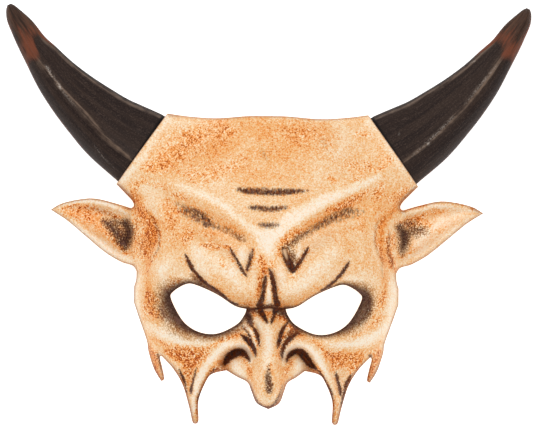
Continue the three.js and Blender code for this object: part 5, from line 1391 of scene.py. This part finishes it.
# Pale chips and scratches, and painted glints along the ridges
chipsAndGlintPlaces = {
    -1: [("upperChip", 0.9, 0.8, [(-141, 84.4, 0.4), (-143, 87, 0.5)]),
         ("middleChip", 0.8, 0.9, [(-147, 92, 0.3), (-150.6, 98.6, 0.5)]),
         ("ridgeGlint", 0.3, 1.2, [(-131, 72, 0.2), (-139, 82, 0.6), (-151, 100, 0.3)]),
         ("scratch", 0.3, 0.5, [(-104, 30, 0.1), (-112, 38, 0.3), (-118, 46, 0.1)])],
    1: [("lowChip", 0.9, 0.8, [(109, 48.6, 0.6), (110.4, 50, 0.4)]),
        ("lowGlint", 0.4, 1.2, [(98, 40, 0.2), (112, 53, 0.6), (126, 67, 0.4)]),
        ("middleGlint", 0.35, 1.2, [(134, 76, 0.2), (146, 91, 0.6), (155, 102, 0.3)]),
        ("scratch", 0.5, 0.6, [(136, 102.4, 0.2), (140.6, 105.6, 0.4)]),
        ("dot", 0.5, 0.6, [(89, 55, 0.4), (89.6, 55.4, 0.3)])],
}


def hornMaterial():
    p = hornPaint
    material = bpy.data.materials.new("darkHorn")
    material.use_nodes = True
    tree = material.node_tree
    tree.nodes.clear()
    along, across = attributeOf(tree, "along"), attributeOf(tree, "across")
    lines = node(tree, "ShaderNodeCombineXYZ")
    tree.links.new(maths(tree, "MULTIPLY", along, p["stretch"]), lines.inputs[0])
    tree.links.new(across, lines.inputs[1])
    tree.links.new(attributeOf(tree, "sideOf"), lines.inputs[2])
    sizes = p["sizes"]
    streak = noise(tree, lines.outputs[0], sizes["streak"], 4, 0.75)
    broad = noise(tree, lines.outputs[0], sizes["broad"], 3, 0.5)
    bands = noise(tree, lines.outputs[0], sizes["bands"], 3, 0.7)
    place = node(tree, "ShaderNodeTexCoord").outputs["Object"]
    mottle = noise(tree, place, sizes["mottle"], 4, 0.6)
    grain = noise(tree, place, sizes["grain"], 2, 0.7)
    worn = maths(tree, "ADD", around(tree, streak, 1.6), around(tree, grain, 1.6))
    colour = mixColour(tree, ramp(tree, broad, 0.38, 0.66), hexColour(p["upper"]), hexColour(p["dark"]))
    colour = mixColour(tree, ramp(tree, worn, -0.1, 0.75), colour, hexColour(p["grey"]))
    patchy = maths(tree, "ADD", around(tree, bands, 2.4), around(tree, mottle, 1.6))
    # painted highlights on the ridge and along the upper edge, and the brown line of the lower edge
    for name, low, high in (("ridge", 0.0, 1.2), ("edge", 0.2, 1.4), ("rim", 0.1, 1.2)):
        share = attributeOf(tree, name)
        share = maths(tree, "MULTIPLY", share, ramp(tree, maths(tree, "ADD", share, patchy), low, high))
        colour = mixColour(tree, share, colour, hexColour(p[name]))

    # the tip: dark brown with red streaks, joined to the dark horn in a combed edge
    tipStreak = noise(tree, lines.outputs[0], sizes["tipStreak"], 4, 0.7, (7, 1, 1))
    redStreak = noise(tree, lines.outputs[0], sizes["redStreak"], 3, 0.6, (6, 1, 1.7))
    combed = maths(tree, "ADD", around(tree, bands, 1.4), maths(tree, "MULTIPLY", worn, 0.4))
    streaked = maths(tree, "ADD", around(tree, tipStreak, 2.6), maths(tree, "MULTIPLY", combed, 0.5))
    tipLight = ramp(tree, streaked, -0.5, 0.6)
    tipColour = mixColour(tree, tipLight, hexColour(p["tip"]), hexColour(p["tipLight"]))
    red = maths(tree, "ADD", around(tree, redStreak, 2.4), maths(tree, "MULTIPLY", combed, 0.3))
    red = maths(tree, "ADD", attributeOf(tree, "red"), red)
    tipColour = mixColour(tree, ramp(tree, red, 0.25, 1.05), tipColour, hexColour(p["red"]))
    tipEdge = maths(tree, "ADD", attributeOf(tree, "tip"), maths(tree, "MULTIPLY", combed, 0.25))
    colour = mixColour(tree, ramp(tree, tipEdge, 0.2, 0.8), colour, tipColour)
    # painted shadow: a near-black band where the horn goes into the face
    colour = mixColour(tree, ramp(tree, along, 2.0, 0.2), colour, hexColour(p["seamShadow"]))
    # pale chips and scratches, and painted glints on the ridge
    chipsAndGlints = maths(tree, "MULTIPLY", attributeOf(tree, "worn"), ramp(tree, grain, 0.42, 0.6))
    colour = mixColour(tree, chipsAndGlints, colour, hexColour(p["worn"]))

    bumpHeight = maths(tree, "ADD", maths(tree, "MULTIPLY", streak, 0.6), maths(tree, "MULTIPLY", grain, 0.4))
    bump = node(tree, "ShaderNodeBump", [(bumpHeight, "Height")], Strength=p["bump"], Distance=p["bumpDepth"])
    rough = maths(tree, "MULTIPLY_ADD", streak, p["roughStreak"], p["roughness"])
    shader = node(tree, "ShaderNodeBsdfPrincipled",
                  [(colour, "Base Color"), (rough, "Roughness"), (bump.outputs[0], "Normal")])
    shader.inputs["Specular IOR Level"].default_value = p["gloss"]
    node(tree, "ShaderNodeOutputMaterial", [(shader.outputs[0], "Surface")])
    return material


def addHorn(name, side, cadNode, material):
    h, m = hornPlan, hornMarks
    total = hornLength()
    seat = (h["rootLength"] + 1) / total
    shares = np.concatenate([np.linspace(0.4 / total, seat, 8)[:-1],
                             seat + (1 - seat) * (1 - (1 - np.linspace(0, 1, h["rings"])) ** 1.15)])
    horn, (run, t, width) = buildHorn(name, side, shares, h["sides"])
    along = np.repeat(run, h["sides"])
    t = np.tile(t.ravel(), len(run))
    widths = np.repeat(width, h["sides"])
    x, y, _ = positions(horn).T

    def pad(values):
        # the two end points take the values of the first and the last point
        return np.concatenate([values, [values[0], values[-1]]])

    # places for the streaks, shifted so that the two horns differ
    setAttribute(horn, "along", pad(along))
    setAttribute(horn, "across", pad(t * 22 + 7 * side))
    setAttribute(horn, "sideOf", np.full(len(x), side * 40.0))
    rise = np.tile(np.sin(np.linspace(0, 2 * np.pi, h["sides"], endpoint=False)), len(run))
    front = smooth(-0.12, 0.12, rise)
    fromRidge = (t - profile(ridgeShare[side], along)) * widths
    body = smooth(-1, 2, along) * smooth(*m["wornTo"], along) * front
    # painted highlight along the ridge: a narrow line, and a wider band that is partly wear
    ridgeHighlightLine = m["line"] * np.exp(-((fromRidge / m["lineHalf"]) ** 2))
    bandHalf = np.where(fromRidge * side > 0, *m["bandHalf"])
    ridgeSheenAndWear = m["band"] * np.exp(-((fromRidge / bandHalf) ** 2))
    setAttribute(horn, "ridge", pad(np.maximum(ridgeHighlightLine, ridgeSheenAndWear) * body))
    # painted highlight along the upper edge
    edge = np.exp(-((((1 + t) * widths - m["edgeAt"]) / m["edgeHalf"]) ** 2)) * smooth(*m["edgeTo"], along)
    setAttribute(horn, "edge", pad(edge * front))
    fromLower = np.maximum((1 - t) * widths - m["rimAt"], 0)
    rim = m["rim"] * np.exp(-((fromLower / m["rimHalf"]) ** 2))
    setAttribute(horn, "rim", pad(rim * smooth(0, 6, along) * front))
    # the tip's colour reaches further down the upper panel and less far along the edges and the ridge
    upperPanel = smooth(0.1, -0.35, t) * smooth(-0.95, -0.7, t)
    onRidge = np.exp(-((fromRidge / 2.2) ** 2))
    upperEdge = smooth(-0.72, -0.95, t)
    lowerEdge = smooth(0.8, 0.97, t)
    join = (m["tipStart"][side] + m["tipPanel"][side] * upperPanel - m["tipBack"][side] * upperEdge
            - 4 * lowerEdge - 3 * onRidge)
    setAttribute(horn, "tip", pad(smooth(-7, 9, along - join)))
    reddest = smooth(*m["redFrom"], along) * (0.7 + 0.3 * onRidge)
    redEdge = 0.8 * lowerEdge * smooth(*m["redEdgeFrom"], along)
    setAttribute(horn, "red", pad(np.maximum(reddest, redEdge)))
    chipsAndGlints = sum(strength * brush(x, y, line, soft) for name, strength, soft, line in chipsAndGlintPlaces[side])
    setAttribute(horn, "worn", chipsAndGlints * pad(front))
    finishPiece(horn, material, cadNode, 0.8)


darkHorn = hornMaterial()
addHorn("rightHorn", 1, "horn_right", darkHorn)
addHorn("leftHorn", -1, "horn_left", darkHorn)
print("horns in")


# Pale floor, soft light, and the camera straight above
studio = {
    "floorSize": 3.0, "floorDrop": 0.0002, "floorGlow": 0.75, "worldLight": 0.46, "lightAim": 0.03,
    "key": {"at": (-0.35, 0.8, 1.6), "size": 0.8, "power": 13},
    "fill": {"at": (0.5, -0.9, 1.5), "size": 1.2, "power": 8},
    "cameraHeight": 8.0, "viewWidth": 0.36244, "focusHeight": 0.022, "sensor": 36, "clipEnd": 30,
    "centre": (-0.34, 1.363), "roll": 0.5,     # mm and degrees, as the photo was taken
}


def addFloor():
    bpy.ops.mesh.primitive_plane_add(size=studio["floorSize"], location=(0, 0, -studio["floorDrop"]))
    floor = bpy.context.object
    floor.name = "floor"
    material = bpy.data.materials.new("paleFloor")
    material.use_nodes = True
    shader = material.node_tree.nodes["Principled BSDF"]
    shader.inputs["Base Color"].default_value = (0.95, 0.95, 0.95, 1)
    shader.inputs["Roughness"].default_value = 0.9
    shader.inputs["Emission Color"].default_value = (1, 1, 1, 1)
    shader.inputs["Emission Strength"].default_value = studio["floorGlow"]
    floor.data.materials.append(material)


def addLight(name, plan):
    lamp = bpy.data.lights.new(name, "AREA")
    lamp.size = plan["size"]
    lamp.energy = plan["power"]
    holder = bpy.data.objects.new(name, lamp)
    holder.location = plan["at"]
    towards = Vector((0, 0, studio["lightAim"])) - Vector(plan["at"])
    holder.rotation_euler = towards.to_track_quat("-Z", "Y").to_euler()
    bpy.context.collection.objects.link(holder)


addFloor()
addLight("keyLight", studio["key"])
addLight("fillLight", studio["fill"])
world = bpy.context.scene.world or bpy.data.worlds.new("softRoom")
bpy.context.scene.world = world
world.use_nodes = True
background = world.node_tree.nodes.get("Background") or world.node_tree.nodes.new("ShaderNodeBackground")
background.inputs["Color"].default_value = (1, 1, 1, 1)
background.inputs["Strength"].default_value = studio["worldLight"]

camera = bpy.data.cameras.new("camera")
camera.sensor_width = studio["sensor"]
camera.lens = studio["sensor"] * (studio["cameraHeight"] - studio["focusHeight"]) / studio["viewWidth"]
camera.clip_end = studio["clipEnd"]
holder = bpy.data.objects.new("camera", camera)
holder.location = (studio["centre"][0] * mm, studio["centre"][1] * mm, studio["cameraHeight"])
holder.rotation_euler = (0, 0, np.radians(studio["roll"]))
bpy.context.collection.objects.link(holder)
bpy.context.scene.camera = holder
bpy.context.scene.view_settings.view_transform = "Standard"
